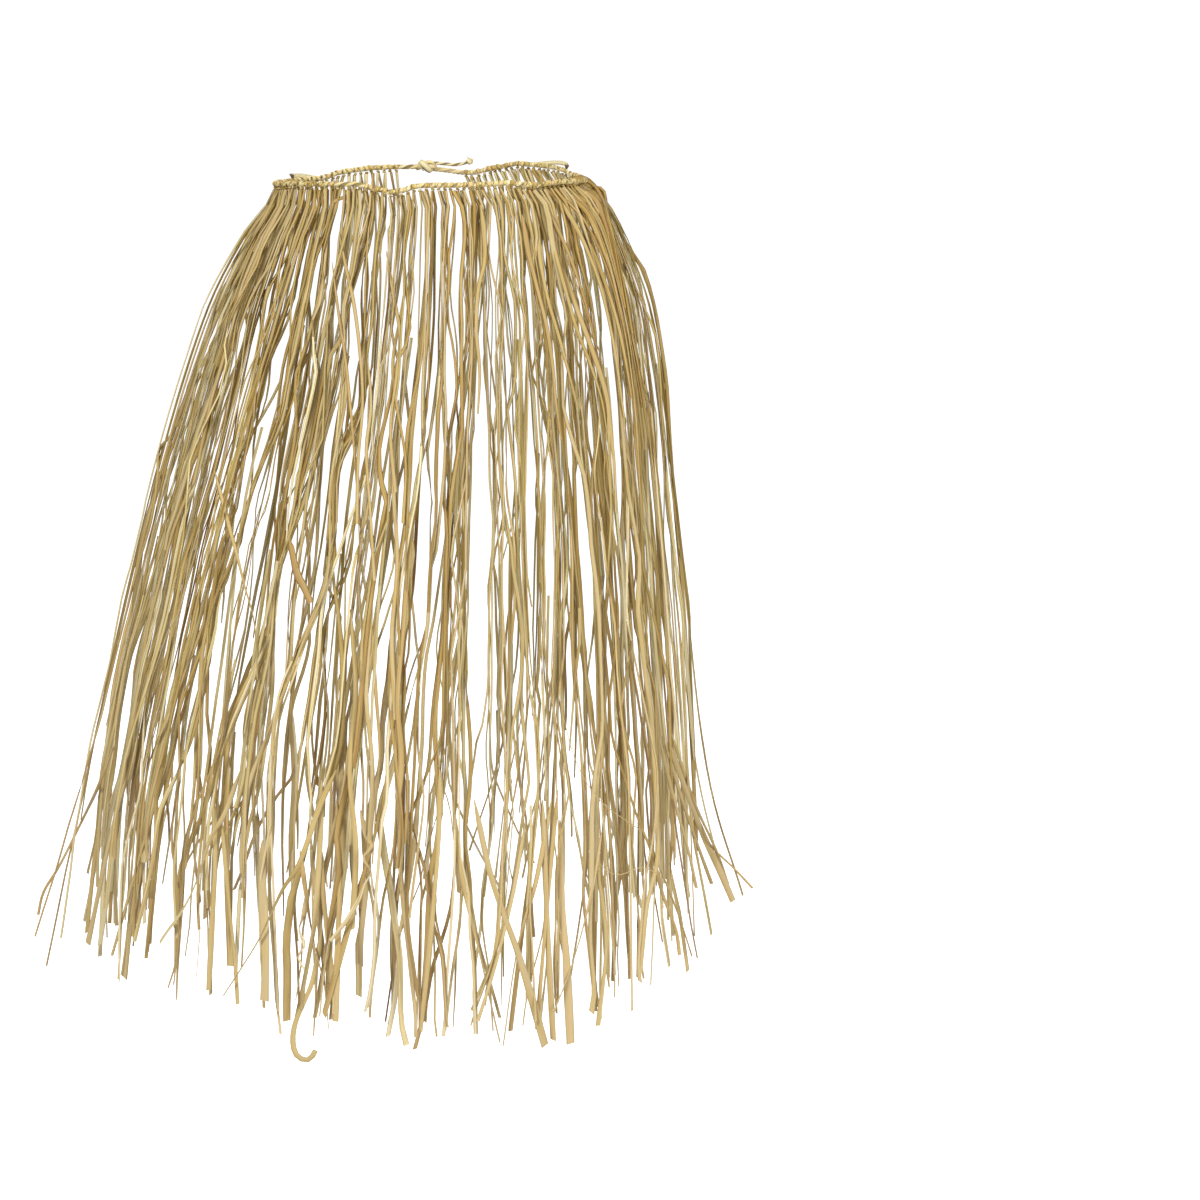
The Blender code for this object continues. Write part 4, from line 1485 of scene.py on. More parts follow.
class GRASS_SKIRT_OT_tie_tail(SkirtOperator, bpy.types.Operator):
    """Makes the free end of the tie, two thin plies twisted together, and its stopper knot"""
    bl_idname = "grass_skirt.tie_tail"
    bl_label = "Tie tail"

    def make(self, sizes, colours):
        rows = [Vector(row) for row in TAIL_ROUTE]
        first = rows[0] + (rows[0] - rows[1]).normalized() * TAIL_INTO_KNOTS
        last = rows[-1] + (rows[-1] - rows[-2]).normalized() * TAIL_INTO_KNOTS
        route = Route([first] + rows + [last])
        ply = sizes.tail_diameter / 4
        runs = [ply_sections(route, number, 2, ply * 0.55, (ply * 1.35, ply * 1.60), TAIL_PITCH,
                             0.75 + 0.15 * number, TAIL_STEPS) for number in range(2)]
        tail = sweep("tie_tail_plies", runs, PLY_UNDERS)
        material = raffia("twisted_raffia_tail", colours, cord_shades(colours), 0.52)
        dress(tail, material, "raffia_cord", "tie_tail")
        low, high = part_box("tail_knot")
        centre, half_size = (low + high) / 2, (high - low) / 2
        runs = [knot_sections(centre, half_size, band, STOPPER_SCALE) for band in KNOT_BANDS[1:]]
        knot = sweep("tail_stopper_knot", runs, PLY_UNDERS)
        dress(knot, material, "raffia_cord", "tail_knot")
        draw = random.Random(sizes.seed)
        runs = [fray_sections(centre, half_size, draw) for _ in range(FRAYED_FIBRES)]
        fray = sweep("tail_frayed_ends", runs, (0.0,) * 4)
        dress(fray, material, "raffia_cord", "tail_knot")
        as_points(route.even(24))


class GRASS_SKIRT_OT_tie_knot(SkirtOperator, bpy.types.Operator):
    """Makes the knot that closes the cord in the middle of the back"""
    bl_idname = "grass_skirt.tie_knot"
    bl_label = "Tie knot"

    def make(self, sizes, colours):
        low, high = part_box("tie_knot")
        centre, half_size = (low + high) / 2, (high - low) / 2
        runs = [filling_sections(centre, half_size, *row) for row in KNOT_FILLING]
        runs += [knot_sections(centre, half_size, band) for band in KNOT_BANDS]
        knot = sweep("tie_knot_bands", runs, PLY_UNDERS)
        material = raffia("knotted_raffia", colours, cord_shades(colours), 0.50)
        dress(knot, material, "raffia_cord", "tie_knot")


class GRASS_SKIRT_OT_waist_cord(SkirtOperator, bpy.types.Operator):
    """Makes the waist cord of two plies twisted together"""
    bl_idname = "grass_skirt.waist_cord"
    bl_label = "Waist cord"

    def make(self, sizes, colours):
        waist = Waist(sizes)
        points = [Vector(row[1:]) for row in waist.line]
        points.insert(0, points[0] + (points[0] - points[1]).normalized() * CORD_INTO_KNOT)
        points.append(points[-1] + (points[-1] - points[-2]).normalized() * CORD_INTO_KNOT)
        route = Route(points, fineness=4)
        steps = int(route.length / sizes.cord_pitch * STEPS_IN_A_PITCH)
        ply = sizes.cord_diameter / 4
        runs = [ply_sections(route, number, 2, ply * 0.50, (ply * 1.38, ply * 1.62),
                             sizes.cord_pitch, 0.45 + 0.2 * number, steps) for number in range(2)]
        cord = sweep("waist_cord_plies", runs, PLY_UNDERS)
        material = raffia("twisted_raffia_cord", colours, cord_shades(colours), 0.54)
        dress(cord, material, "raffia_cord", "waist_cord")


TAB_TILT = math.radians(32)
TAB_STAND_OFF = 0.0012
TAB_STEPS = 14
TAB_FOLD = 0.45
TAB_SHAPE = LeafShape(ridge=0.1, mirror=1, crease=0.6, curl=0.25)
TAB_SLANT = 0.15
TABS = (
    # name, node, half width, (turn, height above the cord) from the root to the cut end
    ("spliced_end_left", "cord_end_left", 0.0028,
     ((46.5, -0.0016), (50, -0.0004), (54, 0.0008), (59, 0.0018), (65, 0.0022))),
    ("spliced_end_right", "cord_end_right", 0.0024,
     ((318, -0.0008), (314, 0.0000), (309, 0.0014), (304, 0.0028), (300, 0.0038), (298, 0.0040),
      (297.2, 0.0030), (297.4, 0.0012), (297.8, -0.0008))),
)


def tab_sections(waist, cord_radius, half_width, rows):
    """The sections of one spliced end, which leans outwards from the cord."""
    route = Route([waist.point(turn) + UP * (cord_radius + lift)
                   + waist.outward(turn) * TAB_STAND_OFF for turn, lift in rows])
    places = route.even(TAB_STEPS)
    out = waist.outward(rows[0][0])
    sections = []
    for index, (direction, _, face) in enumerate(frames(places, UP)):
        share = index / TAB_STEPS
        width = 2 * half_width * (0.45 + 0.55 * smooth_share(share * 2.2))
        inward = face if face.dot(out) < 0 else -face
        side = UP * math.cos(TAB_TILT) - inward * math.sin(TAB_TILT)
        side = (side - direction * side.dot(direction)).normalized()
        face = inward * math.cos(TAB_TILT) + UP * math.sin(TAB_TILT)
        corners, across, edges = leaf_corners(places[index], direction, side, face, width, TAB_FOLD,
                                              TAB_SHAPE, TAB_SLANT if share == 1.0 else 0.0)
        # The cut end is painted dark all round: the shade inside the folded end.
        if index >= TAB_STEPS - 1:
            edges = [1.0] * len(edges)
        sections.append(Section(corners, across, edges, route.length * share, 0.95))
    return sections


class GRASS_SKIRT_OT_spliced_ends(SkirtOperator, bpy.types.Operator):
    """Makes the flat, folded ends of the strips that are spliced into the cord"""
    bl_idname = "grass_skirt.spliced_ends"
    bl_label = "Spliced ends"

    def make(self, sizes, colours):
        waist = Waist(sizes)
        material = raffia("folded_raffia_end", colours, cord_shades(colours), 0.50)
        for name, node, half_width, rows in TABS:
            run = tab_sections(waist, sizes.cord_diameter / 2, half_width, rows)
            tab = sweep(name, [run], (0.0,) * len(LEAF_UNDERS))
            dress(tab, material, "raffia_cord", node)


# ---------------------------------------------------------------- hitches
HITCH_TONE = (0.34, 0.14)
HITCH_SCATTER = 0.35
BAND_THICKNESS = 0.0006
# The loop over the cord.
LOOP_REACH = 0.0023
LOOP_WIDTH = 0.0042
LOOP_LEAN = (-0.0010, 0.0022)
LOOP_STEPS = 10
LOOP_START = -62
LOOP_TURN = 304
LOOP_STEP_LENGTH = 0.0014
# The wrap under the cord.
BEAD_DROP = 0.0038
BEAD_REACH = 0.0013
BEAD_WIDTH = 0.0019
BEAD_TILT = 0.30
BEAD_TURNS = 2.25
BEAD_RISE = 0.0006
# How much the wrap's tone is lowered: painted shade under the cord.
BEAD_PAINTED_SHADE = 0.30
BEAD_STEPS = 12
BEAD_STEP_LENGTH = 0.0012

BAND_PROFILE = (
    # across, height, closeness to an edge: the band's dried edges, and painted shade in the crevices
    # between the loops and on the face that lies against the cord
    (-1.0, -0.3, 0.90), (-0.6, 0.60, 0.2), (0.0, 1.0, 0.0), (0.6, 0.60, 0.2), (1.0, -0.3, 0.90),
    (0.5, -0.6, 1.0), (0.0, -0.6, 1.0), (-0.5, -0.6, 1.0),
)


def band_sections(points, outs, width, step_length, tone):
    """A crowned band whose outer face looks along outs."""
    sections = []
    for index, (direction, _, _) in enumerate(frames(points, UP)):
        side = direction.cross(outs[index]).normalized()
        face = side.cross(direction)
        ring, across, edges = [], [], []
        for mark, height, edge in BAND_PROFILE:
            ring.append(points[index] + side * (width / 2 * mark) + face * (BAND_THICKNESS * height))
            across.append(width / 2 * mark)
            edges.append(edge)
        sections.append(Section(ring, across, edges, index * step_length, tone))
    return sections


# Between these turns the loops are pulled under the cord, and its plies lie bare.
BARE_CORD = (144.0, 154.5)


def loop_sections(middle, out, tone, draw):
    """The loop of a hitch, over the cord."""
    along = UP.cross(out)
    lean = draw.uniform(*LOOP_LEAN)
    reach = LOOP_REACH * draw.uniform(0.95, 1.08)
    points, outs = [], []
    for index in range(LOOP_STEPS + 1):
        angle = math.radians(LOOP_START + LOOP_TURN * index / LOOP_STEPS)
        # The loop is drawn in under the cord.
        spread = reach * (1.0 if math.sin(angle) > -0.2 else 0.86)
        heading = out * math.cos(angle) + UP * math.sin(angle)
        sway = lean * math.sin(angle) + 0.0004 * math.cos(angle)
        points.append(middle + heading * spread + along * sway)
        outs.append(heading)
    width = LOOP_WIDTH * draw.uniform(0.70, 1.35)
    return band_sections(points, outs, width, LOOP_STEP_LENGTH, tone)


def bead_sections(middle, out, tone, draw):
    """The wrap of a hitch, which holds both halves together under the cord."""
    along = UP.cross(out)
    tilt = draw.uniform(-BEAD_TILT, BEAD_TILT)
    drop = BEAD_DROP + draw.uniform(-0.0004, 0.0003)
    start = draw.uniform(0.6, 1.4) * math.pi
    points, outs = [], []
    for index in range(BEAD_STEPS + 1):
        angle = start + BEAD_TURNS * math.pi * index / BEAD_STEPS
        heading = along * math.cos(angle) * 0.92 + out * math.sin(angle)
        rise = tilt * math.cos(angle) * BEAD_REACH + (index / BEAD_STEPS - 0.5) * BEAD_RISE
        points.append(middle - UP * drop + heading * BEAD_REACH + UP * rise)
        outs.append(heading)
    width = BEAD_WIDTH * draw.uniform(0.9, 1.15)
    return band_sections(points, outs, width, BEAD_STEP_LENGTH, tone)


def hitch_runs(waist, turn, draw):
    """One hitch: a loop over the cord, where it shows, and the wrap under it."""
    middle, out = waist.point(turn), waist.outward(turn)
    tone = clamp(draw.gauss(*HITCH_TONE))
    loop = loop_sections(middle, out, tone, draw)
    # The wrap is painted darker than its loop, as the shade under the cord.
    bead = bead_sections(middle, out, max(0.0, tone - BEAD_PAINTED_SHADE), draw)
    return [bead] if BARE_CORD[0] < turn < BARE_CORD[1] else [loop, bead]


class GRASS_SKIRT_OT_hitches(SkirtOperator, bpy.types.Operator):
    """Makes the row of hitches that hold the strips on the cord"""
    bl_idname = "grass_skirt.hitches"
    bl_label = "Hitches"

    def make(self, sizes, colours):
        waist = Waist(sizes)
        draw = random.Random(sizes.seed + 1)
        runs = []
        for _, first, last, hitches in FRINGES:
            turns = waist.even_turns(first + FRINGE_TRIM, last - FRINGE_TRIM, hitches * 2)
            for turn in turns[1::2]:
                scatter = draw.uniform(-HITCH_SCATTER, HITCH_SCATTER)
                runs += hitch_runs(waist, turn + scatter, draw)
        row = sweep("hitch_row", runs, (0.0,) * len(BAND_PROFILE))
        material = raffia("hitched_raffia", colours, strand_shades(colours), 0.52)
        dress(row, material, "raffia_strand", *FRINGE_NAMES)


# ---------------------------------------------------------------- fringes and fibres
class GRASS_SKIRT_OT_fringes(SkirtOperator, bpy.types.Operator):
    """Makes the hanging strips of leaf, one piece for each stretch of the row"""
    bl_idname = "grass_skirt.fringes"
    bl_label = "Fringes"

    def make(self, sizes, colours):
        material = raffia("split_raffia_leaf", colours, strand_shades(colours), 0.50)
        draw = random.Random(sizes.seed)
        strips = split_strands(plan_strands(sizes), draw)
        tables = bundle_tables(strips, draw)
        for fringe in FRINGE_NAMES:
            for inner, name in enumerate(("_outer_strips", "_inner_strips")):
                runs = [strip_sections(strip, tables[index], sizes, sizes.seed * 1000 + index)
                        for index, strip in enumerate(strips)
                        if strip.fringe == fringe and strip.inner == inner]
                piece = sweep(fringe + name, runs, LEAF_UNDERS)
                dress(piece, material, "raffia_strand", fringe)


# Single leaves that have come away from the bundles, as they are seen from the front. They come
# out of the fringe over their first few places, and turn in the middle of their length.
LEAF_ROOT = 5
LEAF_STEP = 0.006
# How deep the step of a single leaf's fold is, and how dark the painted shade beside it.
LEAF_CREASE_AND_SHADE = 0.6
SINGLE_LEAVES = (
    # width, width at the tip, tone, lift off the fringe, half turns, (drop, across); sizes in mm
    # with curled, broad and crossing ends, most of them low down
    (5.2, 5.6, 0.62, 4, 0.0, ((731, -112), (766, -118), (786, -123), (805, -131), (824, -139),
     (842, -142), (857, -139), (863, -130), (860, -124), (853, -120))),
    (4.7, 7.5, 0.66, 9, 0.5, ((570, -188), (611, -203), (635, -217), (664, -227), (689, -236),
     (713, -249), (729, -261), (741, -269))),
    (7.5, 3.3, 0.42, 12, 0.5, ((571, -96), (606, -112), (643, -125), (668, -135), (689, -149),
     (716, -162), (741, -174), (770, -192), (796, -209))),
    (8.5, 9.9, 0.70, 7, 0.0, ((640, -168), (680, -169), (715, -168), (755, -167), (802, -169))),
    (4.7, 3.8, 0.72, 8, 1.5, ((690, -125), (716, -130), (731, -134), (746, -129), (757, -136),
     (770, -130))),
    (5.6, 4.2, 0.60, 11, 1.0, ((611, -73), (636, -68), (647, -62), (659, -71), (673, -63),
     (685, -70), (701, -76), (723, -89), (742, -104))),
    (6.0, 4.6, 0.55, 9, 0.0, ((572, 4), (642, 2), (702, -3), (763, -9), (835, -17))),
    (3.0, 2.4, 0.45, 6, 0.0, ((221, -233), (244, -248), (258, -259), (284, -261), (325, -268),
     (365, -280), (404, -291), (441, -301))),
    (4.2, 3.8, 0.50, 6, 0.5, ((277, -207), (324, -196), (356, -188), (388, -181), (427, -172),
     (481, -170))),
    (7.5, 8.5, 0.08, 2, 0.0, ((345, -137), (376, -131), (389, -125), (406, -118))),
    (4.6, 6.2, 0.40, 4, 0.0, ((327, -20), (385, -26), (443, -31), (502, -36), (562, -33), (601, -37))),
    (4.4, 5.4, 0.28, 6, 0.5, ((443, -41), (502, -43), (571, -37), (641, -32), (702, -38))),
    (6.6, 6.6, 0.58, 4, 0.5, ((581, -110), (650, -113), (721, -119), (776, -128), (812, -132))),
    (5.6, 6.6, 0.50, 8, 0.0, ((601, -96), (681, -94), (751, -97), (824, -100))),
    (5.2, 4.2, 0.66, 6, 0.5, ((621, -81), (701, -96), (761, -108), (818, -115))),
    (5.6, 5.6, 0.55, 3, 0.0, ((640, -114), (721, -108), (792, -102), (822, -104))),
    (4.7, 4.7, 0.40, 5, 0.5, ((650, -132), (731, -122), (787, -110))),
    (4.7, 5.2, 0.55, 4, 0.5, ((602, 16), (682, 25), (763, 43), (847, 61))),
    (3.8, 3.8, 0.66, 8, 0.0, ((623, 87), (693, 75), (764, 58), (826, 39))),
    (4.7, 5.6, 0.50, 6, 0.5, ((603, 112), (683, 97), (754, 78), (851, 64))),
    (5.2, 8.5, 0.68, 10, 0.0, ((602, 37), (683, 54), (764, 81), (852, 105))),
    (5.6, 9.4, 0.72, 7, 0.0, ((623, 120), (704, 122), (764, 126), (850, 130))),
    (3.8, 3.8, 0.60, 9, 0.5, ((634, 161), (704, 149), (765, 133), (817, 114))),
    (3.8, 4.7, 0.62, 5, 0.0, ((664, 155), (745, 165), (832, 157))),
    (5.6, 7.5, 0.60, 30, 0.0, ((545, 225), (605, 246), (643, 261), (674, 275), (707, 289))),
    (2.8, 2.4, 0.40, 30, 0.0, ((575, 237), (637, 260), (655, 271), (673, 289), (694, 308))),
    (2.3, 1.9, 0.45, 12, 0.0, ((654, 210), (710, 232), (736, 241), (762, 249))),
    (3.8, 3.8, 0.50, 26, 0.0, ((545, 221), (605, 239), (655, 256), (689, 268))),
    (3.8, 3.3, 0.58, 22, 0.0, ((544, 217), (604, 231), (655, 245), (693, 253))),
    (3.3, 3.3, 0.52, 30, 0.0, ((535, 227), (605, 250), (655, 272), (690, 284))),
    (3.8, 3.8, 0.50, 16, 0.0, ((644, 208), (695, 219), (735, 233), (761, 237))),
    (0.9, 0.8, 0.75, 16, 0.0, ((666, 157), (674, 165), (679, 178), (672, 198), (677, 214))),
    (0.9, 0.8, 0.70, 14, 0.0, ((504, 120), (563, 135), (604, 159), (634, 198))),
    (5.6, 5.6, 0.62, 3, 0.0, ((599, -214), (659, -214), (719, -218), (790, -223))),
    (4.2, 3.8, 0.52, 5, 0.0, ((619, -207), (699, -202), (760, -197), (805, -195))),
    (5.6, 6.6, 0.60, 4, 0.0, ((603, 103), (683, 106), (764, 109), (846, 113))),
    (4.2, 4.2, 0.45, 6, 0.0, ((593, 118), (693, 109), (784, 101), (835, 97))),
    (4.6, 5.0, 0.60, 3, 0.0, ((211, -32), (278, -38), (365, -35), (443, -41), (522, -38))),
    (4.8, 6.0, 0.45, 4, 0.0, ((413, -80), (492, -76), (571, -83), (651, -78), (731, -83))),
    (4.2, 5.2, 0.66, 3, 0.0, ((404, -59), (492, -66), (571, -61), (651, -65))),
    (4.2, 4.2, 0.20, 1, 0.0, ((16, -73), (19, -80), (21, -86), (24, -91))),
    # over the right end of the waist, and down from the cord between the hitched strips
    (8.0, 3.0, 0.10, 0, 0.0, ((6, 116), (11, 132), (16, 146), (24, 156), (38, 161), (62, 168),
     (100, 176), (150, 186))),
    (7.6, 4.0, 0.08, -1, 0.0, ((5, 118), (6, 132), (9, 146), (13, 155), (18, 161), (28, 164),
     (45, 167), (76, 173), (115, 181))),
    (6.0, 3.6, 0.24, 0, 0.0, ((8, 120), (11, 134), (15, 147), (20, 155), (28, 160), (42, 163),
     (70, 169), (110, 178), (160, 188))),
    (3.8, 3.4, 0.50, 3, 0.0, ((52, -86), (85, -80), (120, -73), (165, -68), (215, -66), (270, -71),
     (330, -73))),
    (3.0, 3.0, 0.30, 2, 0.5, ((80, -93), (125, -88), (170, -82), (225, -77), (290, -73), (350, -71),
     (410, -74))),
    (3.8, 4.2, 0.30, 5, 0.0, ((440, -40), (500, -36), (560, -38), (620, -34), (670, -38))),
    (3.6, 4.0, 0.18, 4, 0.0, ((470, -28), (530, -31), (590, -27), (645, -31))),
    (3.4, 3.6, 0.50, 3, 0.0, ((70, -42), (110, -36), (150, -30), (190, -34), (240, -40), (300, -36))),
    (3.2, 3.4, 0.35, 2, 0.0, ((90, -22), (130, -29), (175, -37), (215, -34), (270, -26), (330, -29))),
    (3.4, 3.6, 0.58, 4, 0.0, ((170, -61), (215, -58), (260, -63), (320, -60), (385, -57))),
    (3.6, 3.8, 0.35, 5, 0.5, ((430, -60), (490, -57), (550, -54), (610, -58), (665, -62))),
    (3.8, 3.0, 0.40, 6, 0.0, ((545, -309), (585, -325), (618, -341), (661, -363), (689, -380),
     (712, -386))),
    (7.0, 2.6, 0.26, 0, 0.0, ((9, 108), (18, 126), (28, 141), (42, 151), (64, 160), (98, 171),
     (140, 181))),
    (3.3, 1.6, 0.14, 1, 0.0, ((4, 118), (6, 133), (10, 150), (12, 161), (19, 164), (34, 166),
     (60, 171), (93, 178), (136, 187), (184, 197), (240, 208), (300, 216))),
    (4.2, 1.8, 0.12, 0, 0.0, ((2, 122), (8, 138), (14, 151), (24, 159), (44, 164), (80, 173),
     (130, 184), (190, 196), (250, 205))),
    (5.2, 2.0, 0.30, 0, 0.0, ((4, 112), (14, 130), (26, 143), (44, 153), (75, 164), (120, 177),
     (180, 190), (260, 201))),
    (7.6, 2.6, 0.50, 4, 0.0, ((81, 121), (109, 131), (141, 143), (174, 155), (208, 165), (241, 169),
     (280, 173), (320, 174))),
    (6.4, 2.2, 0.42, 2, 0.0, ((27, 107), (60, 114), (88, 121), (117, 129), (145, 137), (176, 149),
     (210, 160), (240, 165))),
    (6.8, 2.4, 0.30, 3, 0.0, ((37, 86), (69, 91), (103, 99), (140, 108), (179, 114), (212, 117),
     (250, 122))),
    (5.8, 2.2, 0.34, 2, 0.0, ((56, 145), (81, 156), (110, 167), (141, 176), (174, 183), (210, 189))),
    (6.2, 2.2, 0.44, 2, 0.0, ((23, 95), (51, 100), (81, 103), (117, 110), (155, 121), (185, 129),
     (220, 138))),
    (6.6, 2.2, 0.46, 2, 0.0, ((27, 47), (55, 50), (81, 50), (107, 44), (145, 42), (185, 45),
     (225, 43))),
    (6.0, 2.6, 0.14, 3, 0.0, ((15, 117), (10, 126), (4, 134), (2, 141), (4, 148), (11, 155),
     (22, 161), (44, 167), (82, 175), (125, 183))),
    (4.6, 2.0, 0.22, 4, 0.0, ((17, 122), (11, 130), (6, 138), (4, 145), (8, 152), (16, 158),
     (30, 164), (56, 171), (96, 180), (150, 190))),
    (5.2, 2.4, 0.48, 0, 0.0, ((6, 100), (20, 117), (40, 132), (70, 147), (110, 161), (160, 172),
     (230, 182))),
    (4.7, 2.0, 0.20, 0, 0.0, ((8, 90), (26, 105), (50, 119), (85, 134), (130, 148), (180, 158),
     (240, 166))),
    (3.3, 1.6, 0.40, 0, 0.0, ((6, 112), (10, 131), (15, 146), (22, 155), (30, 162), (46, 166),
     (70, 172), (108, 180), (160, 191), (220, 202), (290, 211))),
    (3.8, 1.6, 0.22, 0, 0.0, ((9, 124), (20, 140), (32, 153), (50, 162), (76, 170), (110, 180),
     (160, 189), (220, 199))),
    (3.3, 1.6, 0.55, 0, 0.0, ((5, 117), (18, 134), (30, 148), (48, 159), (74, 168), (108, 177),
     (150, 186), (200, 192))),
    (3.3, 1.4, 0.10, 0, 0.0, ((8, 108), (22, 126), (40, 143), (62, 155), (92, 167), (130, 177),
     (180, 184))),
    (4.2, 1.8, 0.30, 2, 0.0, ((6, 107), (13, 123), (23, 137), (36, 150), (57, 159), (81, 167),
     (117, 176), (170, 186), (230, 193), (300, 197))),
)


def front_wall(drop, across, lift):
    """The place on the front of the fringe, or lifted off it, that is seen at a drop and across."""
    point = Vector((0.0, 0.0, 0.0))
    # Each round comes closer, because how far forward the place lies changes where it is seen.
    for _ in range(4):
        nearness = VIEW_DISTANCE / (VIEW_DISTANCE + point.y)
        point.x = across / nearness
        point.z = VIEW_HEIGHT - (drop + VIEW_HEIGHT) / nearness
        wall = wall_oval(Level(*between(FLARE, -point.z)))
        share = clamp((point.x - wall.middle_x) / wall.half_width, -1.0, 1.0)
        point.y = wall.middle_y - wall.half_depth * math.sqrt(1.0 - share * share) - lift
    return point


def single_leaf_sections(leaf, draw):
    """The sections of one row of SINGLE_LEAVES."""
    width, tip_width, tone, lift, half_turns, rows = leaf
    route = Route([front_wall(drop * MM, across * MM,
                              (lift + LEAF_ROOT) * MM * smooth_share(number / 3) - LEAF_ROOT * MM)
                   for number, (drop, across) in enumerate(rows)])
    steps = max(8, round(route.length / LEAF_STEP))
    places = route.even(steps)
    shape = LeafShape(draw.uniform(-0.4, 0.4), draw.choice((-1, 1)), LEAF_CREASE_AND_SHADE,
                      draw.uniform(0.0, 0.3))
    fold = draw.uniform(0.15, 0.45)
    slant = draw.uniform(-0.5, 0.5)
    start_turn = draw.uniform(-0.3, 0.3)
    axes, turns, widths, marks = [], [], [], []
    for index, (direction, _, _) in enumerate(frames(places, UP)):
        side = direction.cross(Vector((0.0, 1.0, 0.0))).normalized()
        axes.append((direction, side, side.cross(direction)))
        share = index / steps
        turns.append(start_turn + math.pi * half_turns * smooth_share(share * 1.4 - 0.2))
        opened = smooth_share(share * 6 + 0.3)
        waves = 0.9 + 0.1 * math.cos(9 * share + width)
        widths.append((width + (tip_width - width) * share) * MM * opened * waves)
        marks.append(rows[0][0] * MM + route.length * share)
    return leaf_sections(places, axes, turns, widths, [fold] * len(places),
                         [0.0] * steps + [slant], shape, marks, tone)


class GRASS_SKIRT_OT_single_leaves(SkirtOperator, bpy.types.Operator):
    """Makes the leaves that have come away from the bundles, with their curls and broad ends"""
    bl_idname = "grass_skirt.single_leaves"
    bl_label = "Single leaves"

    def make(self, sizes, colours):
        draw = random.Random(sizes.seed + 3)
        runs = [single_leaf_sections(leaf, draw) for leaf in SINGLE_LEAVES]
        piece = sweep("single_leaves", runs, LEAF_UNDERS)
        material = raffia("loose_raffia_leaf", colours, strand_shades(colours), 0.50)
        dress(piece, material, "raffia_strand", *FRINGE_NAMES)


FIBRE_REACH = (0.10, 0.42)
FIBRE_WIDTH = (0.0013, 0.0021)
FIBRE_FLATNESS = 0.45
FIBRE_TAPER = 0.65
FIBRE_AWAY = 0.009
FIBRE_OUT = (0.001, 0.004)
FIBRE_RIPPLE = 0.0012
FIBRE_STEP = 0.030
FIBRE_TONE = (0.45, 0.25)
# How far a fibre keeps from both ends of its strip, and where most fibres start.
FIBRE_MARGIN = 0.06
FIBRE_TIP = 0.02
FIBRE_USUAL_START = 0.40


def fibre_sections(strand, draw):
    """One fibre that splits off a strand and leaves it by a growing bow."""
    span = draw.uniform(*FIBRE_REACH)
    length = strand.route.length - between(TRIMS, strand.turn)[1] - FIBRE_TIP
    start = draw.triangular(FIBRE_MARGIN, length - FIBRE_MARGIN, FIBRE_USUAL_START)
    span = min(span, length - start)
    away = draw.gauss(0.0, FIBRE_AWAY)
    out = draw.gauss(*FIBRE_OUT)
    width = draw.uniform(*FIBRE_WIDTH)
    steps = max(4, int(span / FIBRE_STEP))
    points, radii, marks = [], [], []
    wave = draw.uniform(0.0, 6.28)
    for index in range(steps + 1):
        share = index / steps
        mark = start + span * share
        bow = share ** 1.6
        ripple = FIBRE_RIPPLE * math.sin(wave + share * draw.uniform(5.0, 9.0))
        points.append(strand.route.at(mark) + strand.side * (away * bow + ripple)
                      + strand.out * (out * bow))
        radii.append((width * (1.0 - FIBRE_TAPER * share ** 3), width * FIBRE_FLATNESS))
        marks.append(mark)
    return round_sections(points, strand.side, radii, wave, marks, clamp(draw.gauss(*FIBRE_TONE)))


class GRASS_SKIRT_OT_fibres(SkirtOperator, bpy.types.Operator):
    """Makes the thin fibres that have split off the strips"""
    bl_idname = "grass_skirt.fibres"
    bl_label = "Loose fibres"

    def make(self, sizes, colours):
        draw = random.Random(sizes.seed + 2)
        strands = plan_strands(sizes)
        runs = [fibre_sections(draw.choice(strands), draw) for _ in range(sizes.fibres)]
        piece = sweep("loose_fibres", runs, (0.0,) * 4)
        material = raffia("raffia_splinter", colours, strand_shades(colours), 0.55)
        dress(piece, material, "raffia_strand", *FRINGE_NAMES)


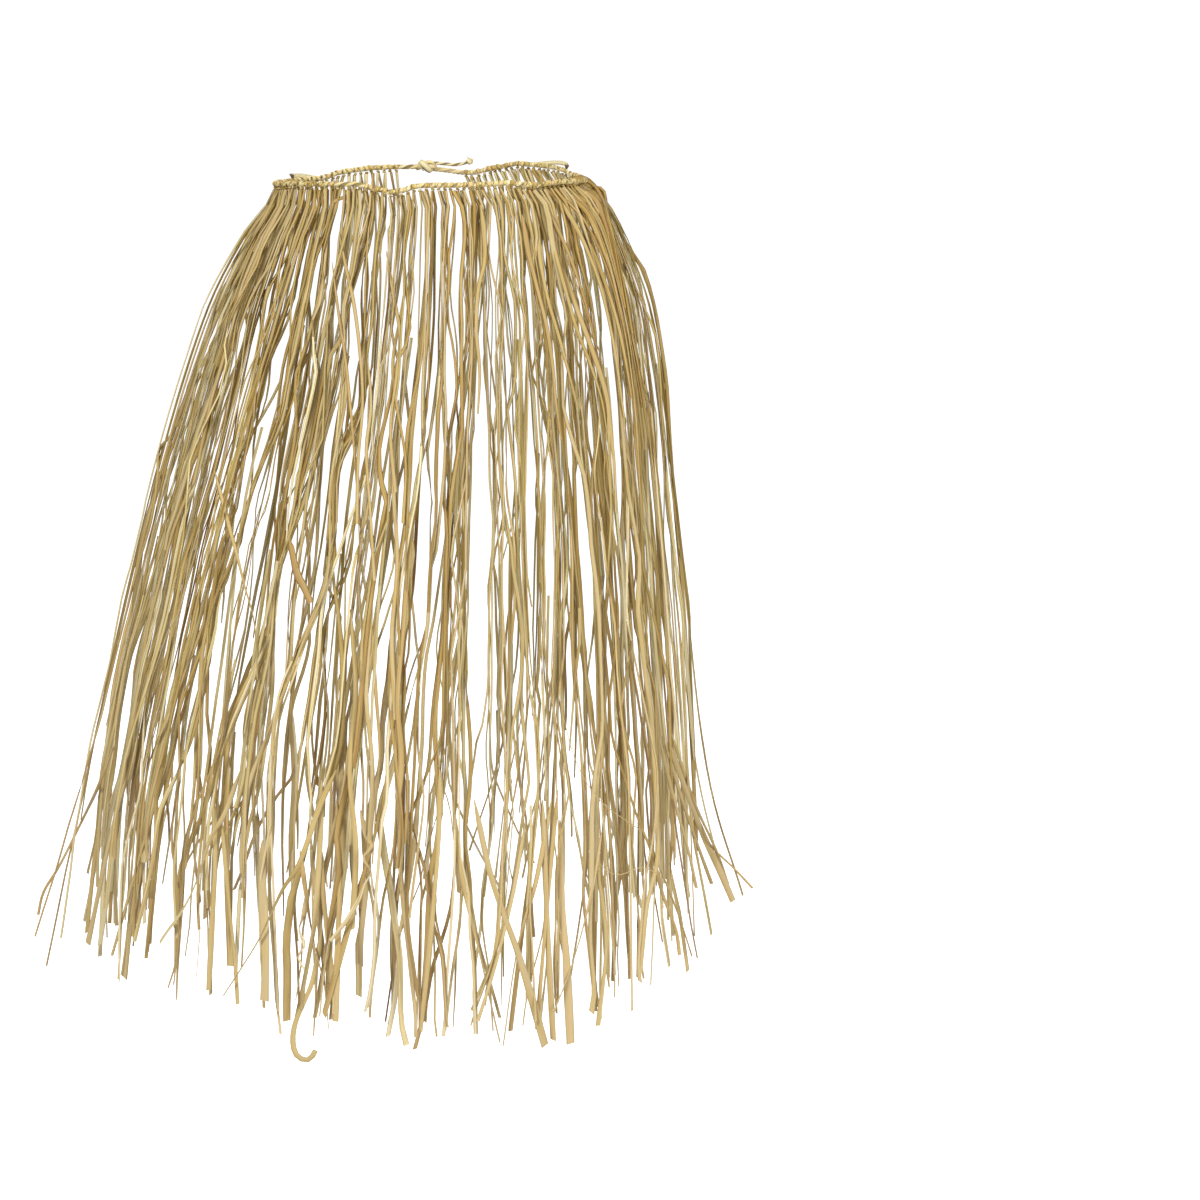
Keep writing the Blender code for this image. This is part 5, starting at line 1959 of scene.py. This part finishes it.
# ---------------------------------------------------------------- panel and registration
OPERATORS = (
    GRASS_SKIRT_OT_stage,
    GRASS_SKIRT_OT_tie_tail,
    GRASS_SKIRT_OT_tie_knot,
    GRASS_SKIRT_OT_waist_cord,
    GRASS_SKIRT_OT_spliced_ends,
    GRASS_SKIRT_OT_hitches,
    GRASS_SKIRT_OT_fringes,
    GRASS_SKIRT_OT_single_leaves,
    GRASS_SKIRT_OT_fibres,
)


class GRASS_SKIRT_PT_panel(bpy.types.Panel):
    """Lists the skirt's pieces and its settings"""
    bl_idname = "GRASS_SKIRT_PT_panel"
    bl_label = "Grass Skirt"
    bl_space_type = "VIEW_3D"
    bl_region_type = "UI"
    bl_category = "Grass Skirt"

    def draw(self, context):
        for group in (context.scene.grass_skirt_sizes, context.scene.grass_skirt_colours,
                      context.scene.grass_skirt_stage):
            box = self.layout.box()
            for key in group.bl_rna.properties.keys():
                if key not in {"rna_type", "name"}:
                    box.prop(group, key)
        for operator in OPERATORS:
            self.layout.operator(operator.bl_idname)


CLASSES = (GrassSkirtSizes, GrassSkirtColours, GrassSkirtStage, *OPERATORS, GRASS_SKIRT_PT_panel)


def register():
    for kind in CLASSES:
        bpy.utils.register_class(kind)
    bpy.types.Scene.grass_skirt_sizes = PointerProperty(type=GrassSkirtSizes)
    bpy.types.Scene.grass_skirt_colours = PointerProperty(type=GrassSkirtColours)
    bpy.types.Scene.grass_skirt_stage = PointerProperty(type=GrassSkirtStage)


def unregister():
    del bpy.types.Scene.grass_skirt_stage
    del bpy.types.Scene.grass_skirt_colours
    del bpy.types.Scene.grass_skirt_sizes
    for kind in reversed(CLASSES):
        bpy.utils.unregister_class(kind)


def main():
    register()
    bpy.ops.grass_skirt.stage()
    bpy.ops.grass_skirt.tie_tail()
    bpy.ops.grass_skirt.tie_knot()
    bpy.ops.grass_skirt.waist_cord()
    bpy.ops.grass_skirt.spliced_ends()
    bpy.ops.grass_skirt.hitches()
    bpy.ops.grass_skirt.fringes()
    bpy.ops.grass_skirt.single_leaves()
    bpy.ops.grass_skirt.fibres()


if __name__ == "__main__":
    main()
